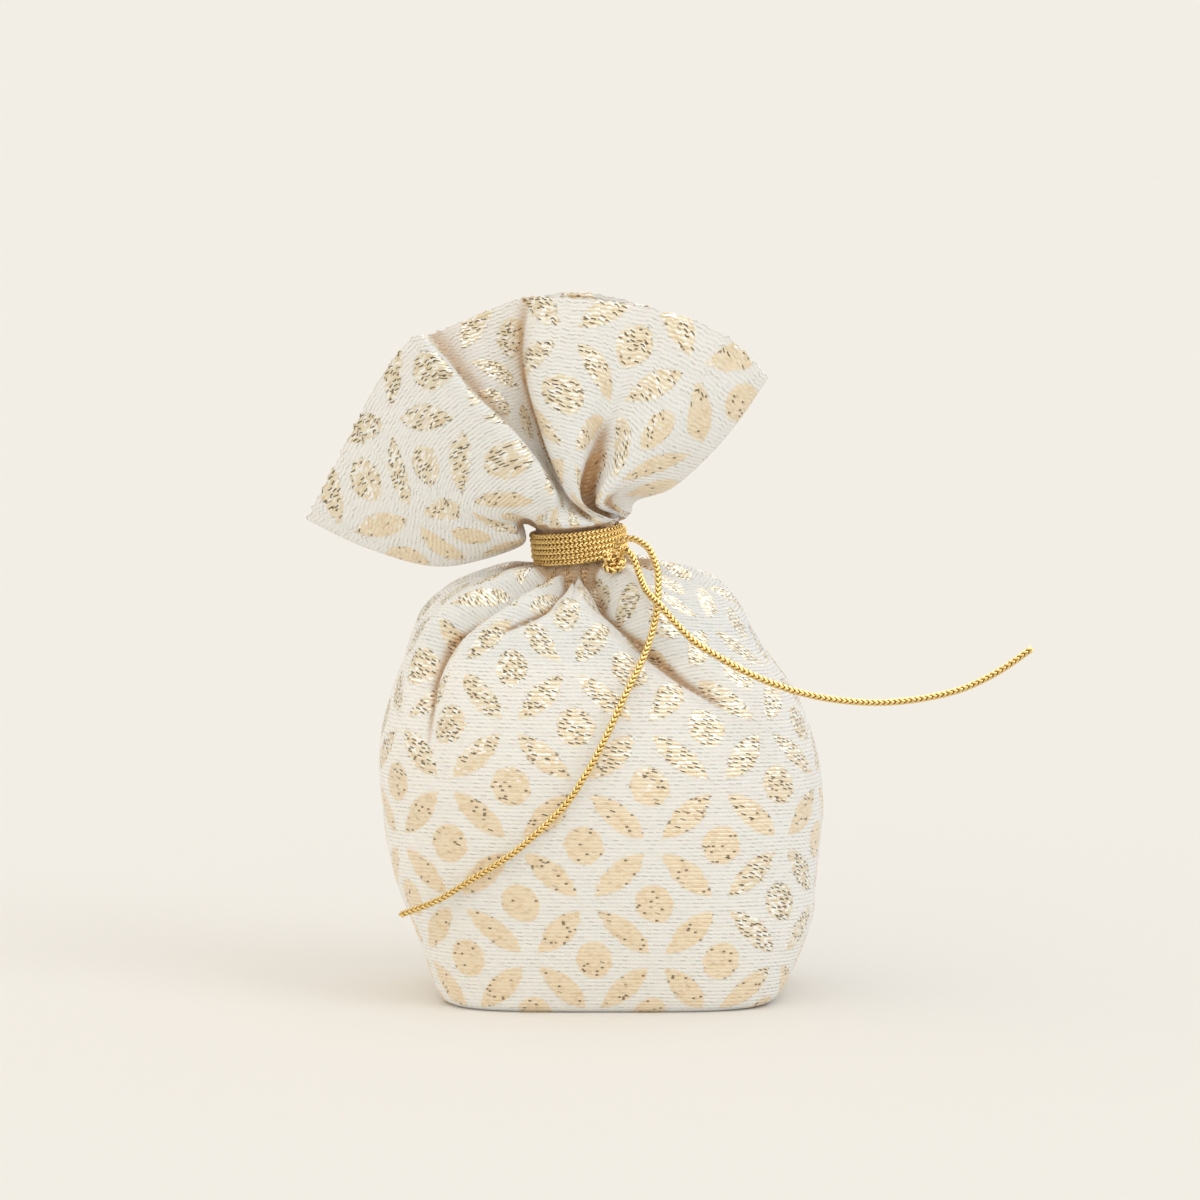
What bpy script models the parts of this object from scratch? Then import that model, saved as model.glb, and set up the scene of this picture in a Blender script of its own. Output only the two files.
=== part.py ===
"""Potli bag: a small filled brocade pouch, gathered at the neck and bound with a gold cord.

The bag stands on its flat base at z = 0 with its front towards -Y. The origin is the middle of
its base, under the middle of the cloth as seen from the front. Lengths are in metres.
"""
import math

import bpy
from mathutils import Matrix, Vector

# Bag
BAG_HEIGHT = 0.1200
BODY_WIDTH = 0.0757
BODY_DEPTH = 0.0560
BODY_OFFSET = 0.0037
NECK_HEIGHT = 0.0744
NECK_DIAMETER = 0.0143
NECK_TILT = math.radians(5.5)
CREASE_DEPTH = 0.0060
CREASE_WIDTH = 0.0090
CREASE_ROUNDNESS = 1.45
CREASE_SPREAD = math.radians(20.0)
CREASE_NARROWING = 0.3
CREASE_FADE = 0.8
CREASE_ONSET_SECTIONS = 0.7
DEEPEST_CREASE = 0.42
SHOULDER_LEAN_SECTIONS = 4.0

# Ruffle above the neck
RUFFLE_WIDTH = 0.0785
RUFFLE_DEPTH = 0.0215
RUFFLE_WALL = 0.0008
RUFFLE_CREASE_DEPTH = 0.0034
RUFFLE_CREASE_STATIONS = 0.9
RUFFLE_CREASE_START_SHARE = 0.02
RUFFLE_CREASE_ONSET_SHARE = 0.12
COLLAR_RATIO = 1.30
COLLAR_RISE = 0.0010

# Tie cord
CORD_DIAMETER = 0.00113
BOUND_CORD_DIAMETER = 0.00088
TURN_COUNT = 5.4
TURN_GAP = 0.00003
SEAT_GAP = 0.0003
BINDING_START = math.radians(-75.0)
KNOT_ANGLE = math.radians(29.0)
KNOT_LEAN = math.radians(38.0)
KNOT_RISE = 0.0004
KNOT_STANDOFF = 0.0019
KNOT_LOOP_RATIO = 1.34
KNOT_WEAVE_RATIO = 0.70

# Mesh resolution
COLUMNS = 76
BODY_RINGS = 26
BASE_RINGS = 2
RUFFLE_RINGS = 9
RUFFLE_FLOOR_RING = 4
RUFFLE_RING_GROWTH = 1.15
OUTLINE_STEPS = 720
MOUTH_STEPS = 40
ROUTE_STEPS = 20
SLOPE_SHARE = 0.02
TURN_POINTS = 24
KNOT_POINTS = 64
CORD_POINT_RATIO = 2.6
CORD_BEVEL_RESOLUTION = 2

# Body sections from the base up: height over the neck height, then the left and right reach over
# half the body width, the depth over the body depth, and how square the section is.
BODY_SECTIONS = [
    (0.000, -0.690, 0.740, 0.770, 4.2),
    (0.012, -0.738, 0.796, 0.818, 4.1),
    (0.045, -0.768, 0.842, 0.848, 3.8),
    (0.099, -0.808, 0.892, 0.884, 3.4),
    (0.187, -0.873, 0.954, 0.928, 3.0),
    (0.261, -0.932, 0.967, 0.957, 2.8),
    (0.356, -0.976, 0.985, 0.982, 2.7),
    (0.435, -0.996, 1.000, 1.000, 2.6),
    (0.527, -1.010, 0.985, 1.000, 2.6),
    (0.604, -1.002, 0.948, 0.986, 2.5),
    (0.699, -0.955, 0.872, 0.936, 2.4),
    (0.767, -0.905, 0.777, 0.879, 2.4),
    (0.840, -0.858, 0.674, 0.786, 2.3),
    (0.890, -0.820, 0.618, 0.714, 2.2),
    (0.932, -0.745, 0.540, 0.607, 2.1),
    (0.963, -0.625, 0.430, 0.464, 2.0),
    (0.984, -0.500, 0.290, 0.340, 2.0),
]
WIDEST_SECTION = 7

# Creases that run down from the neck: bearings at even steps from the neck to the crease's end, in
# degrees from the front and positive to the right, then length in body sections, and shares of the
# full depth and width.
CREASES = [
    ((-168.0, -165.0, -162.0, -160.0), 5.0, 0.80, 1.0),
    ((-134.0, -131.0, -129.0, -128.0), 6.5, 1.00, 1.0),
    ((-33.0, -47.0, -59.5, -54.0), 8.5, 1.15, 0.9),
    ((-13.0, -15.0, -19.5, -38.0), 4.8, 0.90, 0.7),
    ((-7.5, -6.0, -5.0, -4.0), 3.2, 0.70, 0.5),
    ((9.0, 16.0, 27.0, 46.0), 7.4, 1.25, 0.9),
    ((72.0, 75.0, 78.0, 80.0), 3.4, 0.50, 0.8),
    ((104.0, 106.0, 107.0, 108.0), 6.0, 0.90, 1.0),
    ((138.0, 137.0, 136.0, 136.0), 5.0, 0.80, 1.0),
    ((166.0, 167.0, 168.0, 168.0), 6.5, 1.00, 1.0),
]

# Ruffle stations round the mouth, from the left tip along the front to the right tip and home along
# the back. Each gives four points up the cloth, in millimetres from the middle of the neck's top.
RUFFLE_STATIONS = [
    ((-11.0, 0.0, -3.6), (-23.0, 1.0, -7.5), (-35.5, 1.0, -4.5), (-46.0, 1.0, 0.5)),
    ((-11.0, -5.2, -1.6), (-21.5, -5.0, -1.5), (-32.0, -4.5, 3.5), (-41.0, -3.0, 11.0)),
    ((-10.0, -8.0, 2.0), (-17.5, -8.5, 5.5), (-25.5, -8.5, 14.0), (-33.5, -7.0, 25.5)),
    ((-6.0, -9.5, 4.5), (-12.5, -11.0, 12.0), (-20.5, -11.5, 21.0), (-28.5, -10.5, 32.5)),
    ((-3.9, -9.3, 6.3), (-10.0, -11.0, 16.0), (-18.0, -12.0, 24.0), (-26.0, -11.0, 33.5)),
    ((-3.3, -7.0, 6.5), (-8.8, -5.5, 14.5), (-17.2, -4.5, 23.5), (-24.5, -3.5, 33.0)),
    ((-2.9, -5.8, 6.3), (-7.6, -2.5, 15.5), (-13.5, -1.5, 26.0), (-18.5, -0.5, 35.5)),
    ((-2.3, -5.8, 6.2), (-6.1, -1.5, 16.0), (-9.3, -1.0, 27.5), (-9.5, -2.0, 39.0)),
    ((-1.7, -8.6, 6.0), (-5.4, -8.6, 16.0), (-7.8, -6.5, 27.5), (-5.5, -4.2, 39.5)),
    ((0.5, -9.2, 5.5), (0.5, -9.8, 16.0), (1.0, -8.8, 27.0), (2.0, -7.0, 38.5)),
    ((1.9, -6.4, 4.7), (4.0, -6.6, 14.5), (7.5, -7.2, 25.0), (11.0, -6.8, 36.0)),
    ((3.4, -8.2, 4.5), (8.5, -8.2, 12.5), (14.5, -7.2, 22.0), (20.5, -5.5, 33.0)),
    ((6.0, -6.8, 4.8), (12.5, -6.0, 10.5), (20.5, -5.0, 19.0), (28.0, -3.0, 29.0)),
    ((10.2, 0.5, 4.0), (16.8, 1.0, 6.5), (25.5, 1.0, 15.0), (32.5, 1.0, 25.0)),
    ((7.2, 6.0, 4.6), (12.5, 6.0, 9.5), (20.5, 6.0, 18.5), (28.0, 5.0, 29.5)),
    ((3.7, 8.0, 3.5), (8.5, 8.0, 11.5), (14.0, 8.0, 21.0), (19.0, 7.0, 34.5)),
    ((1.5, 8.0, 4.5), (4.0, 9.0, 14.0), (8.0, 8.5, 24.0), (10.0, 7.0, 37.5)),
    ((-0.5, 7.0, 5.0), (0.5, 7.0, 15.0), (1.0, 6.0, 26.0), (0.5, 5.0, 39.5)),
    ((-2.5, 8.0, 4.5), (-3.5, 9.0, 14.5), (-6.0, 9.0, 26.0), (-8.5, 8.0, 38.0)),
    ((-4.5, 8.0, 3.5), (-9.0, 9.0, 14.0), (-13.5, 9.5, 24.5), (-18.0, 9.0, 34.5)),
    ((-7.0, 8.0, 2.5), (-12.5, 8.0, 11.5), (-19.5, 8.0, 21.0), (-26.5, 8.0, 29.5)),
    ((-10.0, 7.0, 0.5), (-17.5, 7.0, 5.5), (-26.0, 7.5, 12.0), (-35.0, 7.0, 19.5)),
    ((-11.0, 4.8, -1.9), (-21.0, 5.5, -2.4), (-32.5, 5.5, 2.0), (-42.5, 5.0, 7.0)),
]
RIGHT_TIP_STATION = 13

# Creases that run up the ruffle from the neck: station, length as a share of the ruffle's height,
# and share of the full depth.
RUFFLE_CREASES = [
    (1.5, 0.48, 1.0),
    (3.0, 0.30, 0.5),
    (7.2, 0.45, 0.5),
    (10.0, 0.62, 1.0),
    (12.1, 0.40, 0.6),
    (15.0, 0.50, 0.8),
    (17.2, 0.60, 1.0),
    (19.4, 0.50, 0.8),
    (21.3, 0.45, 0.7),
]

# Share of the way up the ruffle at which the neck, the collar and the four station points lie.
RUFFLE_LEVELS = [0.0, 0.06, 0.24, 0.50, 0.76, 1.0]

# Routes of the two free cord ends, in millimetres from the middle of the knot.
LEFT_TAIL_ROUTE = [
    (0.3, -0.3, 2.4), (1.2, -1.0, 3.9), (2.9, -1.6, 4.3), (4.4, -2.6, 3.9), (6.0, -4.2, 2.8),
    (7.0, -6.0, 0.8), (7.5, -7.6, -1.2), (7.5, -9.4, -4.6), (6.9, -11.8, -8.9),
    (5.1, -14.5, -14.2), (1.9, -17.3, -20.5), (-1.4, -18.9, -27.5), (-4.6, -19.6, -33.4),
    (-8.2, -19.6, -38.8), (-13.5, -19.0, -44.1), (-18.1, -18.0, -48.0), (-23.9, -16.0, -51.9),
    (-29.6, -13.5, -55.8), (-35.7, -10.3, -58.7),
]
RIGHT_TAIL_ROUTE = [
    (1.7, -0.2, 1.8), (2.1, -1.8, 2.4), (2.8, -2.7, 1.9), (3.6, -3.9, 0.7), (4.4, -5.5, -1.5),
    (5.3, -8.1, -3.4), (6.4, -10.6, -4.6), (8.0, -12.8, -5.9), (10.4, -13.8, -8.6),
    (13.7, -15.0, -11.7), (17.8, -15.8, -14.2), (22.4, -16.2, -16.7), (28.2, -16.2, -19.1),
    (34.5, -15.7, -20.9), (41.0, -15.2, -21.8), (46.9, -14.7, -21.9), (53.4, -14.2, -21.1),
    (59.2, -13.7, -19.6), (64.8, -13.2, -16.9), (70.1, -12.7, -13.3),
]

# Sizes worked out from the ones above
TURN_PITCH = BOUND_CORD_DIAMETER + TURN_GAP
BINDING_HEIGHT = TURN_COUNT * TURN_PITCH + BOUND_CORD_DIAMETER
NECK_TOP = NECK_HEIGHT + BINDING_HEIGHT + 2.0 * SEAT_GAP
NECK_RADIUS = NECK_DIAMETER / 2.0
BINDING_RADIUS = NECK_RADIUS + SEAT_GAP + BOUND_CORD_DIAMETER / 2.0
MM = 0.001


def clear_scene():
    """Remove every object of the open file."""
    for item in list(bpy.data.objects):
        bpy.data.objects.remove(item, do_unlink=True)


def new_collection(name):
    """Return a new collection linked to the scene."""
    group = bpy.data.collections.new(name)
    bpy.context.scene.collection.children.link(group)
    return group


def new_material(name, colour, roughness, metallic):
    """Return a Principled material."""
    material = bpy.data.materials.new(name)
    material.use_nodes = True
    shader = material.node_tree.nodes["Principled BSDF"]
    shader.inputs["Base Color"].default_value = (*colour, 1.0)
    shader.inputs["Roughness"].default_value = roughness
    shader.inputs["Metallic"].default_value = metallic
    return material


def smooth_value(before, start, end, after, share):
    """Blend from start to end along a curve that also heeds the neighbours on each side."""
    slope_in = (end - before) * 0.5
    slope_out = (after - start) * 0.5
    square = share * share
    cube = square * share
    return (start * (2.0 * cube - 3.0 * square + 1.0) + end * (3.0 * square - 2.0 * cube)
            + slope_in * (cube - 2.0 * square + share) + slope_out * (cube - square))


def smooth_row(rows, place):
    """Read a list of equal tuples or vectors at a fractional index, without wrapping round."""
    last = len(rows) - 1
    index = min(int(place), last - 1)
    picks = [rows[max(0, min(last, index + step))] for step in (-1, 0, 1, 2)]
    return [smooth_value(*values, place - index) for values in zip(*picks)]


def smooth_loop(rows, place):
    """Read a closed list of vectors at a fractional index."""
    index = math.floor(place)
    picks = [rows[(index + step) % len(rows)] for step in (-1, 0, 1, 2)]
    return Vector([smooth_value(*values, place - index) for values in zip(*picks)])


def section_radius(bearing, half_width, half_depth, square):
    """Return the reach of a rounded box section at a bearing from the front."""
    across = abs(math.sin(bearing)) / half_width
    along = abs(math.cos(bearing)) / half_depth
    return (across ** square + along ** square) ** (-1.0 / square)


def equal_shares(points, count):
    """Return the fractional indices that cut a run of points into equal lengths, its end left out."""
    travelled = [0.0]
    for start, end in zip(points, points[1:]):
        travelled.append(travelled[-1] + (end - start).length)
    places = []
    step = 0
    for cut in range(count):
        wanted = travelled[-1] * cut / count
        while travelled[step + 1] < wanted:
            step += 1
        places.append(step + (wanted - travelled[step]) / (travelled[step + 1] - travelled[step]))
    return places


def cloth_bearings():
    """Return bearings that share the widest section's outline out equally, from the left side."""
    square = BODY_SECTIONS[WIDEST_SECTION][4]
    turns = [-math.pi / 2.0 + 2.0 * math.pi * step / OUTLINE_STEPS
             for step in range(OUTLINE_STEPS + 1)]
    outline = []
    for bearing in turns:
        reach = section_radius(bearing, BODY_WIDTH / 2.0, BODY_DEPTH / 2.0, square)
        outline.append(Vector((reach * math.sin(bearing), -reach * math.cos(bearing), 0.0)))
    return [turns[0] + 2.0 * math.pi * place / OUTLINE_STEPS
            for place in equal_shares(outline, COLUMNS)]


def neck_frame():
    """Return the frame of the neck: its origin is the middle of the neck's lower end."""
    return Matrix.Translation((0.0, 0.0, NECK_HEIGHT)) @ Matrix.Rotation(-NECK_TILT, 4, "Y")


def neck_point(bearing, radius, height):
    """Return a point beside the neck, by its bearing from the front, radius and height."""
    local = Vector((radius * math.sin(bearing), -radius * math.cos(bearing), height))
    return neck_frame() @ local


def body_point(bearing, place):
    """Return a point of the smooth body, without creases, at a fractional section index."""
    last = len(BODY_SECTIONS) - 1
    if place >= last:
        low = body_point(bearing, last - 1e-6)
        return low.lerp(neck_point(bearing, NECK_RADIUS, 0.0), place - last)
    height, left, right, depth, square = smooth_row(BODY_SECTIONS, place)
    middle = (left + right) / 2.0 * BODY_WIDTH / 2.0 + BODY_OFFSET
    reach = section_radius(bearing, (right - left) * BODY_WIDTH / 4.0, depth * BODY_DEPTH / 2.0,
                           max(square, 2.0))
    lean = max(0.0, place - last + SHOULDER_LEAN_SECTIONS) / (SHOULDER_LEAN_SECTIONS + 1.0)
    side = reach * math.sin(bearing)
    rise = lean * math.tan(NECK_TILT) * side * (NECK_RADIUS / reach) ** 0.5
    return Vector((middle + side, -reach * math.cos(bearing), height * NECK_HEIGHT + rise))


def crease_profile(distance, width, down):
    """Return the share of a crease's depth at a distance from it, part of the way along it."""
    near = 1.0 - min(1.0, abs(distance) / width)
    return near ** CREASE_ROUNDNESS * max(0.0, 1.0 - down) ** CREASE_FADE


def crease_depth(bearing, place, reach):
    """Return how far the creases press the body in at a bearing and a fractional section index."""
    top = float(len(BODY_SECTIONS))
    onset = min(1.0, (top - place) / CREASE_ONSET_SECTIONS)
    depth = 0.0
    for track, length, depth_share, width_share in CREASES:
        down = (top - place) / length
        if down >= 1.0:
            continue
        steps = [(math.radians(degrees),) for degrees in track]
        middle = smooth_row(steps, down * (len(track) - 1))[0]
        turn = (bearing - middle + math.pi) % (2.0 * math.pi) - math.pi
        width = min(width_share * CREASE_WIDTH, reach * CREASE_SPREAD)
        width *= 1.0 - CREASE_NARROWING * down
        profile = crease_profile(turn * reach, width, down)
        depth = max(depth, depth_share * CREASE_DEPTH * profile)
    return min(depth * onset, DEEPEST_CREASE * reach)


def body_ring(bearings, place):
    """Return the creased ring of the body at a fractional section index."""
    ring = []
    step = SLOPE_SHARE
    for bearing in bearings:
        point = body_point(bearing, place)
        across = body_point(bearing + step, place) - body_point(bearing - step, place)
        above = min(place + step, float(len(BODY_SECTIONS)))
        up = body_point(bearing, above) - body_point(bearing, max(above - 2.0 * step, 0.0))
        normal = across.cross(up).normalized()
        reach = math.hypot(point.x, point.y)
        ring.append(point - normal * crease_depth(bearing, place, reach))
    return ring


def base_rings(outline):
    """Return flat rings inside the base's outline, from the smallest one out."""
    middle = sum(outline, Vector()) / len(outline)
    return [[middle.lerp(point, (step + 1) / (BASE_RINGS + 1)) for point in outline]
            for step in range(BASE_RINGS)]


def ruffle_scale():
    """Return the ratios that bring the stations to the ruffle's width, depth and height."""
    points = [Vector(point) for station in RUFFLE_STATIONS for point in station]
    spans = [max(p[axis] for p in points) - min(p[axis] for p in points) for axis in range(2)]
    top = max(p.z for p in points)
    return Vector((RUFFLE_WIDTH / spans[0], RUFFLE_DEPTH / spans[1],
                   (BAG_HEIGHT - NECK_TOP) / top))


def ruffle_places(count):
    """Return fractional station indices that share out the mouth's front and back outlines."""
    mouth = [Vector(station[-1]) for station in RUFFLE_STATIONS]
    places = []
    for first, last in ((0, RIGHT_TIP_STATION), (RIGHT_TIP_STATION, len(mouth))):
        outline = [smooth_loop(mouth, first + step / MOUTH_STEPS)
                   for step in range((last - first) * MOUTH_STEPS + 1)]
        places.extend(first + place / MOUTH_STEPS for place in equal_shares(outline, count // 2))
    return places


def ruffle_columns(bearings, places):
    """Return, for each column, the six points that its run up the ruffle passes through."""
    scale = ruffle_scale()
    middle = neck_point(0.0, 0.0, NECK_TOP - NECK_HEIGHT)
    levels = [[middle + Vector(station[level]) * scale for station in RUFFLE_STATIONS]
              for level in range(4)]
    columns = []
    for bearing, place in zip(bearings, places):
        neck = neck_point(bearing, NECK_RADIUS, NECK_TOP - NECK_HEIGHT)
        collar = neck_point(bearing, NECK_RADIUS * COLLAR_RATIO,
                            NECK_TOP - NECK_HEIGHT + COLLAR_RISE)
        columns.append([neck, collar] + [smooth_loop(level, place) for level in levels])
    return columns


def ruffle_ring(columns, share):
    """Return the ring of the smooth ruffle's outer face at a share of the way up."""
    index = 0
    while index < len(RUFFLE_LEVELS) - 2 and share > RUFFLE_LEVELS[index + 1]:
        index += 1
    span = RUFFLE_LEVELS[index + 1] - RUFFLE_LEVELS[index]
    place = index + (share - RUFFLE_LEVELS[index]) / span
    return [Vector(smooth_row(column, place)) for column in columns]


def ring_normals(lower, ring, upper):
    """Return the outward normals of a ring between its neighbours below and above."""
    count = len(ring)
    return [(ring[(index + 1) % count] - ring[index - 1]).cross(
        upper[index] - lower[index]).normalized() for index in range(count)]


def ruffle_crease_depth(place, share):
    """Return how far the creases press the ruffle in at a station and a share of the way up."""
    stations = len(RUFFLE_STATIONS)
    onset = min(1.0, max(0.0, share - RUFFLE_CREASE_START_SHARE) / RUFFLE_CREASE_ONSET_SHARE)
    depth = 0.0
    for station, length, part in RUFFLE_CREASES:
        away = (place - station + stations / 2.0) % stations - stations / 2.0
        depth = max(depth, part * crease_profile(away, RUFFLE_CREASE_STATIONS, share / length))
    return RUFFLE_CREASE_DEPTH * depth * onset


def ruffle_rings(bearings):
    """Return the rings up the ruffle's outer face and those down its inner face."""
    places = ruffle_places(len(bearings))
    columns = ruffle_columns(bearings, places)
    shares = [(step / RUFFLE_RINGS) ** RUFFLE_RING_GROWTH for step in range(RUFFLE_RINGS + 1)]
    smooth = [ruffle_ring(columns, share) for share in shares]
    outer = []
    inner = []
    for level, share in enumerate(shares):
        normals = ring_normals(smooth[max(level - 1, 0)], smooth[level],
                               smooth[min(level + 1, RUFFLE_RINGS)])
        ring = [point - normal * ruffle_crease_depth(place, share)
                for point, normal, place in zip(smooth[level], normals, places)]
        outer.append(ring)
        if level >= RUFFLE_FLOOR_RING:
            inner.insert(0, [point - normal * RUFFLE_WALL for point, normal in zip(ring, normals)])
    return outer, inner


def loft(name, rings, material, group):
    """Make one closed mesh through the rings, with a pole in the first and a seam over the last.

    The seam joins each point of the last ring's front to the point that faces it at the back.
    """
    points = [sum(rings[0], Vector()) / len(rings[0])]
    for ring in rings:
        points.extend(ring)
    count = len(rings[0])
    faces = [(0, 1 + (index + 1) % count, 1 + index) for index in range(count)]
    for level in range(len(rings) - 1):
        low = 1 + level * count
        high = low + count
        for index in range(count):
            after = (index + 1) % count
            faces.append((low + index, low + after, high + after, high + index))
    last = 1 + (len(rings) - 1) * count
    half = count // 2
    for index in range(half):
        corners = [index, index + 1]
        if index + 1 < half:
            corners.append(count - index - 1)
        if index > 0:
            corners.append(count - index)
        faces.append(tuple(last + corner for corner in corners))
    mesh = bpy.data.meshes.new(name)
    mesh.from_pydata([tuple(point) for point in points], [], faces)
    mesh.materials.append(material)
    mesh.shade_smooth()
    item = bpy.data.objects.new(name, mesh)
    group.objects.link(item)
    return item


def make_bag(material, group):
    """Make the filled bag with its gathered neck and its open ruffle as one closed solid."""
    bearings = cloth_bearings()
    top = len(BODY_SECTIONS)
    body = [body_ring(bearings, top * step / BODY_RINGS) for step in range(BODY_RINGS + 1)]
    outer, inner = ruffle_rings(bearings)
    return loft("cloth_bag", base_rings(body[0]) + body + outer + inner, material, group)


def make_cord(name, points, diameter, material, group, closed=False):
    """Make a tube of cord through the points."""
    curve = bpy.data.curves.new(name, "CURVE")
    curve.dimensions = "3D"
    curve.bevel_depth = diameter / 2.0
    curve.bevel_resolution = CORD_BEVEL_RESOLUTION
    curve.use_fill_caps = not closed
    curve.twist_mode = "MINIMUM"
    spline = curve.splines.new("POLY")
    spline.points.add(len(points) - 1)
    for knot, point in zip(spline.points, points):
        knot.co = (*point, 1.0)
    spline.use_cyclic_u = closed
    spline.use_smooth = True
    curve.materials.append(material)
    item = bpy.data.objects.new(name, curve)
    group.objects.link(item)
    return item


def binding_points():
    """Return the helix of the cord's turns round the neck."""
    count = round(TURN_COUNT * TURN_POINTS)
    lowest = SEAT_GAP + BOUND_CORD_DIAMETER / 2.0
    return [neck_point(BINDING_START + 2.0 * math.pi * TURN_COUNT * step / count, BINDING_RADIUS,
                       lowest + TURN_COUNT * TURN_PITCH * step / count)
            for step in range(count + 1)]


def knot_middle():
    """Return the middle of the knot, which sits against the lower right of the binding."""
    thickness = (KNOT_WEAVE_RATIO + 0.5) * BOUND_CORD_DIAMETER
    radius = BINDING_RADIUS + BOUND_CORD_DIAMETER / 2.0 + SEAT_GAP + thickness + KNOT_STANDOFF
    return neck_point(KNOT_ANGLE, radius, KNOT_RISE)


def knot_points():
    """Return the closed run of an overhand knot, which leans back on the bag's shoulder."""
    middle = knot_middle()
    away = Vector((math.sin(KNOT_ANGLE), -math.cos(KNOT_ANGLE), 0.0))
    sideways = Vector((math.cos(KNOT_ANGLE), math.sin(KNOT_ANGLE), 0.0))
    outward = away * math.cos(KNOT_LEAN) + Vector((0.0, 0.0, math.sin(KNOT_LEAN)))
    upward = sideways.cross(-outward)
    points = []
    for step in range(KNOT_POINTS):
        angle = 2.0 * math.pi * step / KNOT_POINTS
        reach = KNOT_LOOP_RATIO + KNOT_WEAVE_RATIO * math.cos(3.0 * angle)
        points.append(middle + BOUND_CORD_DIAMETER * (
            sideways * reach * math.cos(2.0 * angle)
            + upward * reach * math.sin(2.0 * angle)
            + outward * KNOT_WEAVE_RATIO * math.sin(3.0 * angle)))
    return points


def tail_points(route):
    """Return points spaced along a smooth curve through a cord end's route."""
    middle = knot_middle()
    route = [middle + Vector(point) * MM for point in route]
    fine = [Vector(smooth_row(route, step / ROUTE_STEPS))
            for step in range(ROUTE_STEPS * (len(route) - 1) + 1)]
    spacing = CORD_POINT_RATIO * CORD_DIAMETER
    points = [fine[0]]
    travelled = 0.0
    for start, end in zip(fine, fine[1:]):
        travelled += (end - start).length
        if travelled >= spacing:
            points.append(end)
            travelled = 0.0
    if (points[-1] - fine[-1]).length < spacing / 2.0:
        points.pop()
    points.append(fine[-1])
    return points


def centre_on_origin(items, bag):
    """Move everything sideways so that the bag's box is centred over the origin."""
    points = [vertex.co for vertex in bag.data.vertices]
    shift = Vector([-(min(p[axis] for p in points) + max(p[axis] for p in points)) / 2.0
                    for axis in range(2)] + [0.0])
    for item in items:
        item.location = item.location + shift


def main():
    """Build the bag and its tie cord."""
    clear_scene()
    group = new_collection("potli_bag")
    cloth = new_material("ivory_brocade", (0.80, 0.72, 0.60), 0.80, 0.0)
    binding_gold = new_material("binding_gold", (0.66, 0.42, 0.14), 0.35, 0.9)
    knot_gold = new_material("knot_gold", (0.60, 0.38, 0.12), 0.35, 0.9)
    left_gold = new_material("left_tail_gold", (0.70, 0.46, 0.16), 0.35, 0.9)
    right_gold = new_material("right_tail_gold", (0.70, 0.46, 0.16), 0.35, 0.9)
    bag = make_bag(cloth, group)
    items = [
        bag,
        make_cord("neck_binding", binding_points(), BOUND_CORD_DIAMETER, binding_gold, group),
        make_cord("tie_knot", knot_points(), BOUND_CORD_DIAMETER, knot_gold, group, closed=True),
        make_cord("left_tail", tail_points(LEFT_TAIL_ROUTE), CORD_DIAMETER, left_gold, group),
        make_cord("right_tail", tail_points(RIGHT_TAIL_ROUTE), CORD_DIAMETER, right_gold, group),
    ]
    centre_on_origin(items, bag)


main()
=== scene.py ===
"""Studio scene of a small potli bag: ribbed brocade with a woven gold pattern, tied with gold cord.

The cloth is one thin shell, lofted from the filled body over the gathered neck to the open ruffle.
It carries its flat coordinates in millimetres as its UV map, so the weave and the pattern follow
the cloth. The tie cord is knitted, stitch by stitch, along the routes of the part's plain cords.
"""

import logging
import math
from dataclasses import dataclass, field
from enum import Enum
from typing import Sequence

import bpy
import numpy as np
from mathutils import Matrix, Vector

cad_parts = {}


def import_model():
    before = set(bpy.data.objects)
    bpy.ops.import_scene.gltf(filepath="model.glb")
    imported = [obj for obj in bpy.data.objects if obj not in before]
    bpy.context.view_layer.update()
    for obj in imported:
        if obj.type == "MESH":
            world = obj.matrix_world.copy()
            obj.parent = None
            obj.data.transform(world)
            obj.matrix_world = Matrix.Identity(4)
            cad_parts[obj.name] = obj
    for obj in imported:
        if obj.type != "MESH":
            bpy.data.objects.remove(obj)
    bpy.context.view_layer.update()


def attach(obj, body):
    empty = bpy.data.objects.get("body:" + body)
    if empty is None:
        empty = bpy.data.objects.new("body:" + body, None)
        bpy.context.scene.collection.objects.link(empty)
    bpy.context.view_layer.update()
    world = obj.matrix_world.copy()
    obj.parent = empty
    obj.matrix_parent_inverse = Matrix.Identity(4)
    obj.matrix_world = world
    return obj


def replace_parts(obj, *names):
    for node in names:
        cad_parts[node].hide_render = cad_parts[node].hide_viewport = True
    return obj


LOG = logging.getLogger("potli_bag")
MM = 0.001

# The part's place: its solids were centred over the origin by this much
PART_SHIFT = np.array((0.002544, 0.0, 0.0))

# Body
BODY_WIDTH = 0.0757
BODY_DEPTH = 0.0560
BODY_OFFSET = 0.0037
NECK_HEIGHT = 0.0744
NECK_RADIUS = 0.00715
NECK_TILT = math.radians(5.5)
BAG_HEIGHT = 0.1200
RUFFLE_WIDTH = 0.0785
RUFFLE_DEPTH = 0.0215

# Cloth as it lies flat, in millimetres
FLAT_ROUND = 216.0
BODY_PATTERN_SHIFT = np.array((7.5, -0.5))
RUFFLE_PATTERN_SHIFT = np.array((10.4, 15.4))
FLAT_POLE = (FLAT_ROUND / 2.0, -20.0)
PATTERN_CELL = (23.3, 20.2)

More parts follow.
